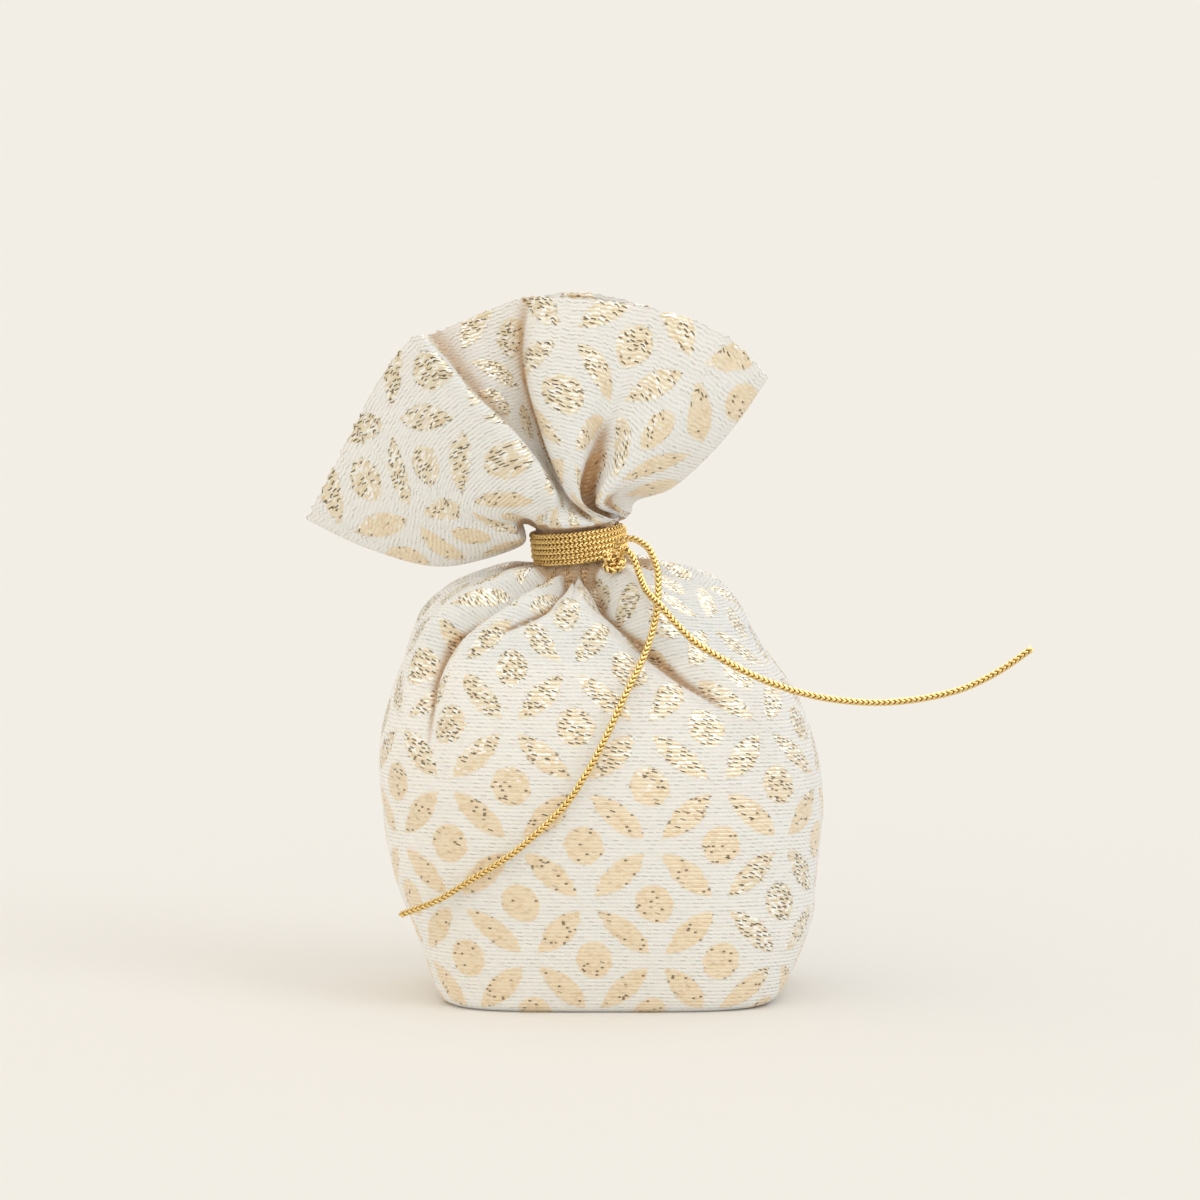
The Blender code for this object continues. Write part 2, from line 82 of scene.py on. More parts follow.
# Cord
CORD_DIAMETER = 0.00113
BOUND_CORD_DIAMETER = 0.00088
CORD_TURNS = 5.4
TURN_GAP = 0.00003
SEAT_GAP = 0.0003
NECK_TOP = (NECK_HEIGHT + CORD_TURNS * (BOUND_CORD_DIAMETER + TURN_GAP)
            + BOUND_CORD_DIAMETER + 2.0 * SEAT_GAP)
BINDING_START = math.radians(-75.0)
KNOT_ANGLE = math.radians(29.0)
KNOT_LEAN = math.radians(38.0)
KNOT_RISE = 0.0004
KNOT_STANDOFF = 0.0019
KNOT_LOOP_RADIUS = 1.34
KNOT_WEAVE_RADIUS = 0.70
BINDING_FULLNESS = 1.08
KNOT_FULLNESS = 1.36

# Creases, as shares and in metres, and how they fade in from the neck
CREASE_ROUNDNESS = 1.45
CREASE_FADE = 0.8
CREASE_TAPER = 0.3
WIDEST_FLANK = math.radians(20.0)
DEEPEST_SHARE = 0.42
ROLL_SHARE = 0.20
ROLL_PLACE = 1.25
ROLL_WIDTH = 0.55
HIGHEST_ROLL = 0.0012
BODY_ONSET = 0.7
RUFFLE_ONSET = (0.02, 0.12)

# The ruffle's collar, just above the tie
COLLAR_FLARE = 1.30
COLLAR_RISE = 0.001

# How finely outlines and routes are sampled
OUTLINE_SAMPLES = 2881
STATION_STEPS = 60
TURN_STEPS = 60
KNOT_STEPS = 160
TAIL_STEPS = 14

# Body sections from the base up: height over the neck height, left and right reach over half the
# body width, depth over the body depth, and squareness.
BODY_SECTIONS = np.array([
    (0.000, -0.690, 0.740, 0.770, 4.2),
    (0.012, -0.738, 0.796, 0.818, 4.1),
    (0.045, -0.768, 0.842, 0.848, 3.8),
    (0.099, -0.808, 0.892, 0.884, 3.4),
    (0.187, -0.873, 0.954, 0.928, 3.0),
    (0.261, -0.932, 0.967, 0.957, 2.8),
    (0.356, -0.976, 0.985, 0.982, 2.7),
    (0.435, -0.996, 1.000, 1.000, 2.6),
    (0.527, -1.010, 0.985, 1.000, 2.6),
    (0.604, -1.002, 0.948, 0.986, 2.5),
    (0.699, -0.955, 0.872, 0.936, 2.4),
    (0.767, -0.905, 0.777, 0.879, 2.4),
    (0.840, -0.858, 0.674, 0.786, 2.3),
    (0.890, -0.820, 0.618, 0.714, 2.2),
    (0.932, -0.745, 0.540, 0.607, 2.1),
    (0.963, -0.625, 0.430, 0.464, 2.0),
    (0.984, -0.500, 0.290, 0.340, 2.0),
])
WIDEST_SECTION = 7
TOP_PLACE = float(len(BODY_SECTIONS))

# Four points up the ruffle at each station round the mouth, in millimetres from the neck's top
RUFFLE_STATIONS = np.array([
    ((-9.7, 0.0, -3.8), (-23.0, 1.0, -7.5), (-35.5, 1.0, -4.5), (-46.0, 1.0, 0.5)),
    ((-9.9, -5.2, -2.4), (-21.5, -5.0, -1.5), (-32.0, -4.5, 3.5), (-41.0, -3.0, 11.0)),
    ((-10.0, -8.0, 2.0), (-17.5, -8.5, 5.5), (-25.5, -8.5, 14.0), (-33.5, -7.0, 25.5)),
    ((-6.0, -9.5, 4.5), (-12.5, -11.0, 12.0), (-20.5, -11.5, 21.0), (-28.5, -10.5, 32.5)),
    ((-3.9, -9.3, 6.3), (-10.0, -11.0, 16.0), (-18.0, -12.0, 24.0), (-26.0, -11.0, 33.5)),
    ((-3.3, -7.0, 6.5), (-8.8, -5.5, 14.5), (-17.2, -4.5, 23.5), (-24.5, -3.5, 33.0)),
    ((-2.9, -5.8, 6.3), (-7.6, -2.5, 15.5), (-13.5, -1.5, 26.0), (-18.5, -0.5, 35.5)),
    ((-2.3, -5.8, 6.2), (-6.1, -1.5, 16.0), (-9.3, -1.0, 27.5), (-9.5, -2.0, 39.0)),
    ((-1.7, -8.6, 6.0), (-5.4, -8.6, 16.0), (-7.8, -6.5, 27.5), (-5.5, -4.2, 39.5)),
    ((0.5, -9.2, 5.5), (0.5, -9.8, 16.0), (1.0, -8.8, 27.0), (2.0, -7.0, 39.3)),
    ((1.9, -6.4, 4.7), (4.0, -6.6, 14.5), (7.5, -7.2, 25.0), (11.0, -6.8, 38.0)),
    ((3.4, -8.2, 4.5), (8.5, -8.2, 12.5), (14.5, -7.2, 22.0), (20.5, -5.5, 35.3)),
    ((6.0, -6.8, 4.8), (12.5, -6.0, 10.5), (20.5, -5.0, 19.0), (28.0, -3.0, 30.4)),
    ((10.2, 0.5, 4.0), (16.8, 1.0, 6.5), (25.5, 1.0, 15.0), (32.5, 1.0, 25.0)),
    ((7.2, 6.0, 4.6), (12.5, 6.0, 9.5), (20.5, 6.0, 18.5), (28.0, 5.0, 29.5)),
    ((3.7, 8.0, 3.5), (8.5, 8.0, 11.5), (14.0, 8.0, 21.0), (19.0, 7.0, 33.9)),
    ((1.5, 8.0, 4.5), (4.0, 9.0, 14.0), (8.0, 8.5, 24.0), (10.0, 7.0, 37.5)),
    ((-0.5, 7.0, 5.0), (0.5, 7.0, 15.0), (1.0, 6.0, 26.0), (0.5, 5.0, 39.5)),
    ((-2.5, 8.0, 4.5), (-3.5, 9.0, 14.5), (-6.0, 9.0, 26.0), (-8.5, 8.0, 38.0)),
    ((-4.5, 8.0, 3.5), (-9.0, 9.0, 14.0), (-13.5, 9.5, 24.5), (-18.0, 9.0, 34.5)),
    ((-7.0, 8.0, 2.5), (-12.5, 8.0, 11.5), (-19.5, 8.0, 21.0), (-26.5, 8.0, 29.5)),
    ((-10.0, 7.0, 0.5), (-17.5, 7.0, 5.5), (-26.0, 7.5, 12.0), (-35.0, 7.0, 19.5)),
    ((-9.9, 4.8, -2.6), (-21.0, 5.5, -2.4), (-32.5, 5.5, 2.0), (-42.5, 5.0, 7.0)),
])
RIGHT_TIP_STATION = 13
RUFFLE_LEVELS = np.array([0.0, 0.06, 0.24, 0.50, 0.76, 1.0])

LEFT_TAIL_ROUTE = [
    (0.3, -0.3, 2.4), (1.2, -1.0, 3.9), (2.9, -1.6, 4.3), (4.4, -2.6, 3.9), (6.0, -4.2, 2.8),
    (7.0, -6.0, 0.8), (7.5, -7.6, -1.2), (7.5, -9.4, -4.6), (6.9, -11.8, -8.9),
    (5.1, -14.5, -14.2), (1.9, -17.3, -20.5), (-1.4, -18.9, -27.5), (-4.6, -19.6, -33.4),
    (-8.2, -19.6, -38.8), (-13.5, -19.0, -44.1), (-18.1, -18.0, -48.0), (-23.9, -16.0, -51.9),
    (-29.6, -13.5, -55.8), (-35.7, -10.3, -58.7),
]
RIGHT_TAIL_ROUTE = [
    (1.7, -0.2, 1.8), (2.1, -1.8, 2.4), (2.8, -2.7, 1.9), (3.6, -3.9, 0.7), (4.4, -5.5, -1.5),
    (5.3, -8.1, -3.4), (6.4, -10.6, -4.6), (8.0, -12.8, -5.9), (10.4, -13.8, -8.6),
    (13.7, -15.0, -11.7), (17.8, -15.8, -14.2), (22.4, -16.2, -16.7), (28.2, -16.2, -19.1),
    (34.5, -15.7, -20.9), (41.0, -15.2, -21.8), (46.9, -14.7, -21.9), (53.4, -14.2, -21.1),
    (59.2, -13.7, -19.6), (64.8, -13.2, -16.9), (70.1, -12.7, -13.3),
]


class Slot(Enum):
    """Material slots of the record."""

    BROCADE = "brocade"
    GOLD_CORD = "gold_cord"


@dataclass(frozen=True)
class Crease:
    """A crease that runs down the body from the neck.

    Args:
        track: Bearings at even steps from the neck to its end, in degrees from the front.
        length: Length in body sections.
        depth: Depth at the neck in millimetres.
        width: Width of each flank in millimetres.
    """

    track: tuple[float, ...]
    length: float
    depth: float
    width: float


@dataclass(frozen=True)
class RuffleCrease:
    """A crease that runs up the ruffle from the neck.

    Args:
        station: Where it runs, as a ruffle station.
        length: Its length as a share of the ruffle's height.
        depth: Depth near the neck in millimetres.
        width: Half width in stations.
    """

    station: float
    length: float
    depth: float
    width: float


BODY_CREASES = (
    Crease((-168.0, -165.0, -162.0, -160.0), 5.0, 4.8, 7.0),
    Crease((-134.0, -131.0, -129.0, -128.0), 6.5, 6.0, 7.5),
    Crease((-33.0, -47.0, -59.5, -54.0), 8.5, 7.0, 5.6),
    Crease((-13.0, -15.0, -19.5, -38.0), 4.8, 5.6, 4.2),
    Crease((-7.5, -6.0, -5.0, -4.0), 3.2, 4.4, 3.2),
    Crease((9.0, 16.0, 27.0, 46.0), 7.4, 7.8, 6.2),
    Crease((72.0, 75.0, 78.0, 80.0), 3.4, 3.0, 5.5),
    Crease((104.0, 106.0, 107.0, 108.0), 6.0, 5.4, 7.0),
    Crease((138.0, 137.0, 136.0, 136.0), 5.0, 4.8, 7.0),
    Crease((166.0, 167.0, 168.0, 168.0), 6.5, 6.0, 7.5),
)
RUFFLE_CREASES = (
    RuffleCrease(1.5, 0.48, 3.4, 0.9),
    RuffleCrease(3.0, 0.30, 1.7, 0.9),
    RuffleCrease(7.2, 0.45, 1.7, 0.9),
    RuffleCrease(10.0, 0.62, 3.4, 0.9),
    RuffleCrease(12.1, 0.40, 2.0, 0.9),
    RuffleCrease(15.0, 0.50, 2.7, 0.9),
    RuffleCrease(17.2, 0.60, 3.4, 0.9),
    RuffleCrease(19.4, 0.50, 2.7, 0.9),
    RuffleCrease(21.3, 0.45, 2.4, 0.9),
)


def smooth_blend(picks: Sequence[np.ndarray], share: np.ndarray) -> np.ndarray:
    """Blend between the middle two of four values along a Catmull-Rom curve."""
    before, start, end, after = picks
    square = share * share
    cube = square * share
    return (start * (2.0 * cube - 3.0 * square + 1.0) + end * (3.0 * square - 2.0 * cube)
            + (end - before) * 0.5 * (cube - 2.0 * square + share)
            + (after - start) * 0.5 * (cube - square))


def smooth_rows(rows: np.ndarray, places: np.ndarray) -> np.ndarray:
    """Read rows at fractional indices along their first axis, without wrapping round."""
    last = len(rows) - 1
    index = np.minimum(places.astype(int), last - 1)
    picks = [rows[np.clip(index + step, 0, last)] for step in (-1, 0, 1, 2)]
    share = (places - index).reshape(places.shape + (1,) * (rows.ndim - 1))
    return smooth_blend(picks, share)


def smooth_loop(rows: np.ndarray, places: np.ndarray) -> np.ndarray:
    """Read closed rows at fractional indices along their first axis."""
    index = np.floor(places).astype(int)
    picks = [rows[(index + step) % len(rows)] for step in (-1, 0, 1, 2)]
    share = (places - index).reshape(places.shape + (1,) * (rows.ndim - 1))
    return smooth_blend(picks, share)


def equal_shares(points: np.ndarray, count: int) -> np.ndarray:
    """Return the fractional indices that cut a run of points into equal lengths, its end left out."""
    travelled = np.concatenate(([0.0], np.cumsum(np.linalg.norm(np.diff(points, axis=0), axis=1))))
    wanted = travelled[-1] * np.arange(count) / count
    return np.interp(wanted, travelled, np.arange(len(points)))


def neck_points(bearing: np.ndarray, radius: np.ndarray, height: np.ndarray) -> np.ndarray:
    """Return points beside the leaning neck, by bearing from the front, radius and height."""
    side, front, up = np.broadcast_arrays(radius * np.sin(bearing), -radius * np.cos(bearing), height)
    lean, rise = math.sin(-NECK_TILT), math.cos(NECK_TILT)
    return np.stack((side * rise + up * lean, front, NECK_HEIGHT - side * lean + up * rise), axis=-1)


def grid_normals(grid: np.ndarray) -> np.ndarray:
    """Return the outward unit normals of a grid of rings, closed round and open up and down."""
    across = np.roll(grid, -1, axis=1) - np.roll(grid, 1, axis=1)
    normals = np.cross(across, np.gradient(grid, axis=0))
    return normals / np.maximum(np.linalg.norm(normals, axis=2, keepdims=True), 1e-12)


def smooth_round(rows: np.ndarray, reach: int) -> np.ndarray:
    """Even out closed rows along themselves, over a number of places to each side."""
    window = np.hanning(2 * reach + 3)[1:-1]
    wrapped = np.concatenate((rows[:, -reach:], rows, rows[:, :reach]), axis=1)
    return np.stack([np.convolve(row, window / window.sum(), "valid") for row in wrapped])


def hollowness(grid: np.ndarray, reach: int) -> np.ndarray:
    """Return how far each point of a closed grid lies inside its surroundings, in metres."""
    window = np.hanning(2 * reach + 3)[1:-1]
    window /= window.sum()
    padded = np.pad(grid, ((reach, reach), (0, 0), (0, 0)), mode="edge")
    padded = np.concatenate((padded[:, -reach:], padded, padded[:, :reach]), axis=1)
    evened = sum(weight * padded[step:step + len(grid)] for step, weight in enumerate(window))
    columns = grid.shape[1]
    evened = sum(weight * evened[:, step:step + columns] for step, weight in enumerate(window))
    return ((evened - grid) * grid_normals(grid)).sum(axis=-1)


def crease_shape(distance: np.ndarray) -> np.ndarray:
    """Return a crease's share of its depth at a signed distance, one at the edge of its width."""
    return np.maximum(0.0, 1.0 - np.abs(distance)) ** CREASE_ROUNDNESS


@dataclass
class BodyForm:
    """The filled body, from the base up to the gathered neck.

    Args:
        bearings: Bearing of each column, in radians from the front.
    """

    bearings: np.ndarray

    @staticmethod
    def radius(bearing: np.ndarray, width: np.ndarray, depth: np.ndarray,
               square: np.ndarray) -> np.ndarray:
        """Return the reach of a rounded box section at bearings from the front."""
        across = np.abs(np.sin(bearing)) / width
        along = np.abs(np.cos(bearing)) / depth
        return (across ** square + along ** square) ** (-1.0 / square)

    @classmethod
    def with_columns(cls, count: int) -> "BodyForm":
        """Return a body whose columns share out the widest section's outline equally."""
        turns = np.linspace(-math.pi / 2.0, 1.5 * math.pi, OUTLINE_SAMPLES)
        reach = cls.radius(turns, BODY_WIDTH / 2.0, BODY_DEPTH / 2.0,
                           BODY_SECTIONS[WIDEST_SECTION][4])
        outline = np.stack((reach * np.sin(turns), -reach * np.cos(turns)), axis=1)
        places = equal_shares(outline, count)
        return cls(turns[0] + 2.0 * math.pi * places / (len(turns) - 1))

    def smooth(self, places: np.ndarray) -> np.ndarray:
        """Return the body's rings without creases, at fractional section indices."""
        last = len(BODY_SECTIONS) - 1
        low = np.minimum(places, last - 1e-6)
        height, left, right, depth, square = smooth_rows(BODY_SECTIONS, low).T
        middle = ((left + right) / 2.0 * BODY_WIDTH / 2.0 + BODY_OFFSET)[:, None]
        turn = self.bearings[None, :]
        reach = self.radius(turn, ((right - left) * BODY_WIDTH / 4.0)[:, None],
                            (depth * BODY_DEPTH / 2.0)[:, None], np.maximum(square, 2.0)[:, None])
        lean = np.maximum(0.0, low - last + 4.0)[:, None] / 5.0
        side = reach * np.sin(turn)
        rise = lean * math.tan(NECK_TILT) * side * np.sqrt(NECK_RADIUS / reach)
        rings = np.stack((middle + side, -reach * np.cos(turn),
                          height[:, None] * NECK_HEIGHT + rise), axis=-1)
        neck = neck_points(self.bearings, NECK_RADIUS, 0.0)[None]
        share = np.clip(places - last, 0.0, 1.0)[:, None, None]
        return rings + (neck - rings) * share

    def crease_depths(self, rings: np.ndarray, places: np.ndarray) -> np.ndarray:
        """Return how far the creases press the rings in, in metres."""
        reach = np.hypot(rings[..., 0], rings[..., 1])
        depth = np.zeros(reach.shape)
        roll = np.zeros(reach.shape)
        for crease in BODY_CREASES:
            down = np.clip((TOP_PLACE - places) / crease.length, 0.0, 1.0)
            track = np.array(crease.track)[:, None]
            middle = np.radians(smooth_rows(track, down * (len(track) - 1.0)))
            down = down[:, None]
            turn = (self.bearings[None, :] - middle + math.pi) % (2.0 * math.pi) - math.pi
            width = np.minimum(crease.width * MM, reach * WIDEST_FLANK) * (1.0 - CREASE_TAPER * down)
            deep = crease.depth * MM * (1.0 - down) ** CREASE_FADE
            away = turn * reach / np.maximum(width, 1e-9)
            depth = np.maximum(depth, deep * crease_shape(away))
            roll += deep * ROLL_SHARE * np.exp(-((np.abs(away) - ROLL_PLACE) / ROLL_WIDTH) ** 2)
        onset = np.minimum(1.0, (TOP_PLACE - places) / BODY_ONSET)[:, None]
        return (np.minimum(depth, DEEPEST_SHARE * reach) - np.minimum(roll, HIGHEST_ROLL)) * onset

    def rings(self, places: np.ndarray) -> np.ndarray:
        """Return the creased rings of the body's outer face."""
        smooth = self.smooth(places)
        return smooth - grid_normals(smooth) * self.crease_depths(smooth, places)[..., None]


@dataclass
class RuffleForm:
    """The fan of cloth above the tie.

    Args:
        bearings: Bearing of each column at the neck, in radians from the front.
    """

    bearings: np.ndarray
    places: np.ndarray = field(init=False)

    def __post_init__(self) -> None:
        """Share out the mouth's front and back outlines between the columns."""
        mouth = RUFFLE_STATIONS[:, -1]
        half = len(self.bearings) // 2
        parts = []
        for first, last in ((0, RIGHT_TIP_STATION), (RIGHT_TIP_STATION, len(mouth))):
            fine = np.linspace(first, last, (last - first) * STATION_STEPS + 1)
            outline = smooth_loop(mouth, fine)
            parts.append(first + equal_shares(outline, half) / STATION_STEPS)
        self.places = np.concatenate(parts)

    def columns(self) -> np.ndarray:
        """Return the six points that each column passes through on its way up."""
        spans = np.ptp(RUFFLE_STATIONS.reshape(-1, 3), axis=0)
        scale = np.array((RUFFLE_WIDTH / spans[0], RUFFLE_DEPTH / spans[1],
                          (BAG_HEIGHT - NECK_TOP) / RUFFLE_STATIONS[..., 2].max()))
        rise = NECK_TOP - NECK_HEIGHT
        middle = neck_points(np.zeros(1), 0.0, rise)[0]
        free = smooth_loop(middle + RUFFLE_STATIONS * scale, self.places)
        neck = neck_points(self.bearings, NECK_RADIUS, rise)[:, None]
        collar = neck_points(self.bearings, NECK_RADIUS * COLLAR_FLARE, rise + COLLAR_RISE)[:, None]
        return np.concatenate((neck, collar, free), axis=1)

    def smooth(self, shares: np.ndarray) -> np.ndarray:
        """Return the smooth rings of the outer face, at shares of the way up."""
        places = np.interp(shares, RUFFLE_LEVELS, np.arange(len(RUFFLE_LEVELS)))
        return smooth_rows(np.swapaxes(self.columns(), 0, 1), places)

    def crease_depths(self, shares: np.ndarray) -> np.ndarray:
        """Return how far the creases press the rings in, in metres."""
        stations = len(RUFFLE_STATIONS)
        depth = np.zeros((len(shares), len(self.places)))
        for crease in RUFFLE_CREASES:
            away = (self.places - crease.station + stations / 2.0) % stations - stations / 2.0
            fade = np.clip(1.0 - shares / crease.length, 0.0, 1.0)[:, None] ** CREASE_FADE
            depth = np.maximum(depth, crease.depth * MM * fade
                               * crease_shape(away / crease.width)[None, :])
        start, span = RUFFLE_ONSET
        return depth * np.clip((shares - start) / span, 0.0, 1.0)[:, None]

    def rings(self, shares: np.ndarray) -> np.ndarray:
        """Return the creased rings of the ruffle's outer face."""
        smooth = self.smooth(shares)
        return smooth - grid_normals(smooth) * self.crease_depths(shares)[..., None]


@dataclass
class NodeTree:
    """Short hand for building a tree of shader or geometry nodes.

    Args:
        tree: The node tree to build in.
    """

    tree: bpy.types.NodeTree

    def add(self, kind: str, **settings: object) -> bpy.types.Node:
        """Add a node and set its properties."""
        node = self.tree.nodes.new(kind)
        for name, value in settings.items():
            setattr(node, name, value)
        return node

    def feed(self, socket: bpy.types.NodeSocket, value: object) -> None:
        """Link a socket to an output, or set it to a constant."""
        if isinstance(value, bpy.types.NodeSocket):
            self.tree.links.new(value, socket)
        else:
            socket.default_value = value

    def fed(self, kind: str, inputs: dict, **settings: object) -> bpy.types.Node:
        """Add a node, set its properties and feed its inputs, by their names or numbers."""
        node = self.add(kind, **settings)
        for key, value in inputs.items():
            self.feed(node.inputs[key], value)
        return node

    def math(self, operation: str, *values: object) -> bpy.types.NodeSocket:
        """Add a maths node and return its value."""
        node = self.add("ShaderNodeMath", operation=operation)
        for socket, value in zip(node.inputs, values):
            self.feed(socket, value)
        return node.outputs[0]

    def ramp(self, value: object, low: float, high: float, to_low: float = 0.0,
             to_high: float = 1.0) -> bpy.types.NodeSocket:
        """Map a value smoothly from one range to another, clamped at both ends."""
        node = self.add("ShaderNodeMapRange", interpolation_type="SMOOTHSTEP")
        for socket, item in zip(node.inputs, (value, low, high, to_low, to_high)):
            self.feed(socket, item)
        return node.outputs["Result"]

    def mix(self, share: object, start: object, end: object) -> bpy.types.NodeSocket:
        """Mix two colours."""
        return self.fed("ShaderNodeMix", {"Factor": share, 6: start, 7: end},
                        data_type="RGBA").outputs[2]

    def vector(self, x: object, y: object = 0.0, z: object = 0.0) -> bpy.types.NodeSocket:
        """Join three values in a vector."""
        node = self.add("ShaderNodeCombineXYZ")
        for socket, value in zip(node.inputs, (x, y, z)):
            self.feed(socket, value)
        return node.outputs[0]

    def random(self, x: object, y: object, seed: float) -> bpy.types.NodeSocket:
        """Return a random value for each cell, by its two whole numbers."""
        return self.fed("ShaderNodeTexWhiteNoise", {"Vector": self.vector(x, y, seed)},
                        noise_dimensions="3D").outputs["Value"]

    def noise(self, x: object, y: object) -> bpy.types.NodeSocket:
        """Return smooth noise at two coordinates."""
        return self.fed("ShaderNodeTexNoise", {"Vector": self.vector(x, y), "Scale": 1.0,
                                               "Detail": 2.0}, noise_dimensions="3D").outputs[0]

    def group(self, tree: bpy.types.NodeTree, **values: object) -> bpy.types.Node:
        """Add a node group and feed its inputs, named with _ for each space."""
        inputs = {name.replace("_", " "): value for name, value in values.items()}
        return self.fed("ShaderNodeGroup", inputs, node_tree=tree)


def new_group(name: str, inputs: Sequence[tuple[str, float]],
              outputs: Sequence[str]) -> tuple[NodeTree, bpy.types.Node, bpy.types.Node]:
    """Start a shader node group with value sockets.

    Args:
        name: The group's name.
        inputs: Name and default of each input.
        outputs: Name of each output.

    Returns:
        The tree, its input node and its output node.
    """
    tree = bpy.data.node_groups.new(name, "ShaderNodeTree")
    for label, value in inputs:
        socket = tree.interface.new_socket(label, in_out="INPUT", socket_type="NodeSocketFloat")
        socket.default_value = value
    for label in outputs:
        tree.interface.new_socket(label, in_out="OUTPUT", socket_type="NodeSocketFloat")
    nodes = NodeTree(tree)
    return nodes, nodes.add("NodeGroupInput"), nodes.add("NodeGroupOutput")


def petal_lattice_group() -> bpy.types.NodeTree:
    """Build the pattern's mask: dots, each ringed by four leaves that neighbours share."""
    nodes, given, result = new_group(
        "Petal lattice",
        (("U", 0.0), ("V", 0.0), ("Cell U", PATTERN_CELL[0]), ("Cell V", PATTERN_CELL[1]),
         ("Dot Radius", 3.3), ("Leaf Length", 11.4), ("Leaf Width", 4.2), ("Edge", 0.25)),
        ("Mask",))
    sockets = given.outputs
    along = nodes.math("DIVIDE", sockets["U"], sockets["Cell U"])
    up = nodes.math("DIVIDE", sockets["V"], sockets["Cell V"])
    first = nodes.math("ADD", along, up)
    second = nodes.math("SUBTRACT", along, up)
    near_first = nodes.math("SUBTRACT", nodes.math("FRACT", nodes.math("ADD", first, 0.5)), 0.5)
    near_second = nodes.math("SUBTRACT", nodes.math("FRACT", nodes.math("ADD", second, 0.5)), 0.5)
    far_first = nodes.math("SUBTRACT", nodes.math("FRACT", first), 0.5)
    far_second = nodes.math("SUBTRACT", nodes.math("FRACT", second), 0.5)

    def place(one: bpy.types.NodeSocket, two: bpy.types.NodeSocket) -> tuple:
        """Turn lattice coordinates into millimetres across and up."""
        across = nodes.math("MULTIPLY", nodes.math("MULTIPLY", nodes.math("ADD", one, two), 0.5),
                            sockets["Cell U"])
        rise = nodes.math("MULTIPLY", nodes.math("MULTIPLY", nodes.math("SUBTRACT", one, two), 0.5),
                          sockets["Cell V"])
        return across, rise

    across, rise = place(near_first, near_second)
    nearest = nodes.math("SUBTRACT", nodes.math("SQRT", nodes.math("ADD", nodes.math(
        "MULTIPLY", across, across), nodes.math("MULTIPLY", rise, rise))), sockets["Dot Radius"])
    half = nodes.math("MULTIPLY", sockets["Leaf Width"], 0.5)
    arc = nodes.math("DIVIDE", nodes.math("ADD", nodes.math("MULTIPLY", nodes.math(
        "MULTIPLY", sockets["Leaf Length"], sockets["Leaf Length"]), 0.25), nodes.math(
            "MULTIPLY", half, half)), sockets["Leaf Width"])
    inset = nodes.math("SUBTRACT", arc, half)
    slope = math.atan2(PATTERN_CELL[1], PATTERN_CELL[0])
    for one, two, sign in ((far_first, near_second, -1.0), (near_first, far_second, 1.0)):
        across, rise = place(one, two)
        cosine, sine = math.cos(sign * slope), math.sin(sign * slope)
        run = nodes.math("ADD", nodes.math("MULTIPLY", across, cosine),
                         nodes.math("MULTIPLY", rise, sine))
        off = nodes.math("ABSOLUTE", nodes.math("SUBTRACT", nodes.math("MULTIPLY", rise, cosine),
                                                nodes.math("MULTIPLY", across, sine)))
        reach = nodes.math("ADD", off, inset)
        leaf = nodes.math("SUBTRACT", nodes.math("SQRT", nodes.math("ADD", nodes.math(
            "MULTIPLY", run, run), nodes.math("MULTIPLY", reach, reach))), arc)
        nearest = nodes.math("MINIMUM", nearest, leaf)
    nodes.feed(result.inputs["Mask"], nodes.ramp(nearest, sockets["Edge"], nodes.math(
        "MULTIPLY", sockets["Edge"], -1.0)))
    return nodes.tree


def yarn_rows_group() -> bpy.types.NodeTree:
    """Build rows of yarn that are broken into staggered, slightly slanted floats."""
    nodes, given, result = new_group(
        "Yarn rows",
        (("U", 0.0), ("V", 0.0), ("Pitch", 0.68), ("Float", 1.35), ("Slant", 0.2), ("Seed", 0.0)),
        ("Height", "Across", "Along", "Random", "Row Random"))
    sockets = given.outputs
    sway = nodes.noise(nodes.math("MULTIPLY", sockets["U"], 0.10),
                       nodes.math("MULTIPLY", sockets["V"], 0.10))
    level = nodes.math("ADD", nodes.math("DIVIDE", sockets["V"], sockets["Pitch"]),
                       nodes.math("MULTIPLY", sway, 0.45))
    row = nodes.math("FLOOR", level)
    row_random = nodes.random(row, 0.0, 3.0)
    step = nodes.math("ADD", nodes.math("DIVIDE", sockets["U"], sockets["Float"]),
                      nodes.math("MULTIPLY", row_random, 7.0))
    cell = nodes.math("FLOOR", step)
    along = nodes.math("FRACT", step)
    slanted = nodes.math("ADD", level, nodes.math("MULTIPLY", nodes.math(
        "SUBTRACT", along, 0.5), sockets["Slant"]))
    across = nodes.math("FRACT", slanted)
    round_top = nodes.math("SINE", nodes.math("MULTIPLY", across, math.pi))
    nodes.feed(result.inputs["Height"], nodes.math("POWER", round_top, 0.6))
    nodes.feed(result.inputs["Across"], across)
    nodes.feed(result.inputs["Along"], along)
    nodes.feed(result.inputs["Random"], nodes.random(row, cell, sockets["Seed"]))
    nodes.feed(result.inputs["Row Random"], row_random)
    return nodes.tree


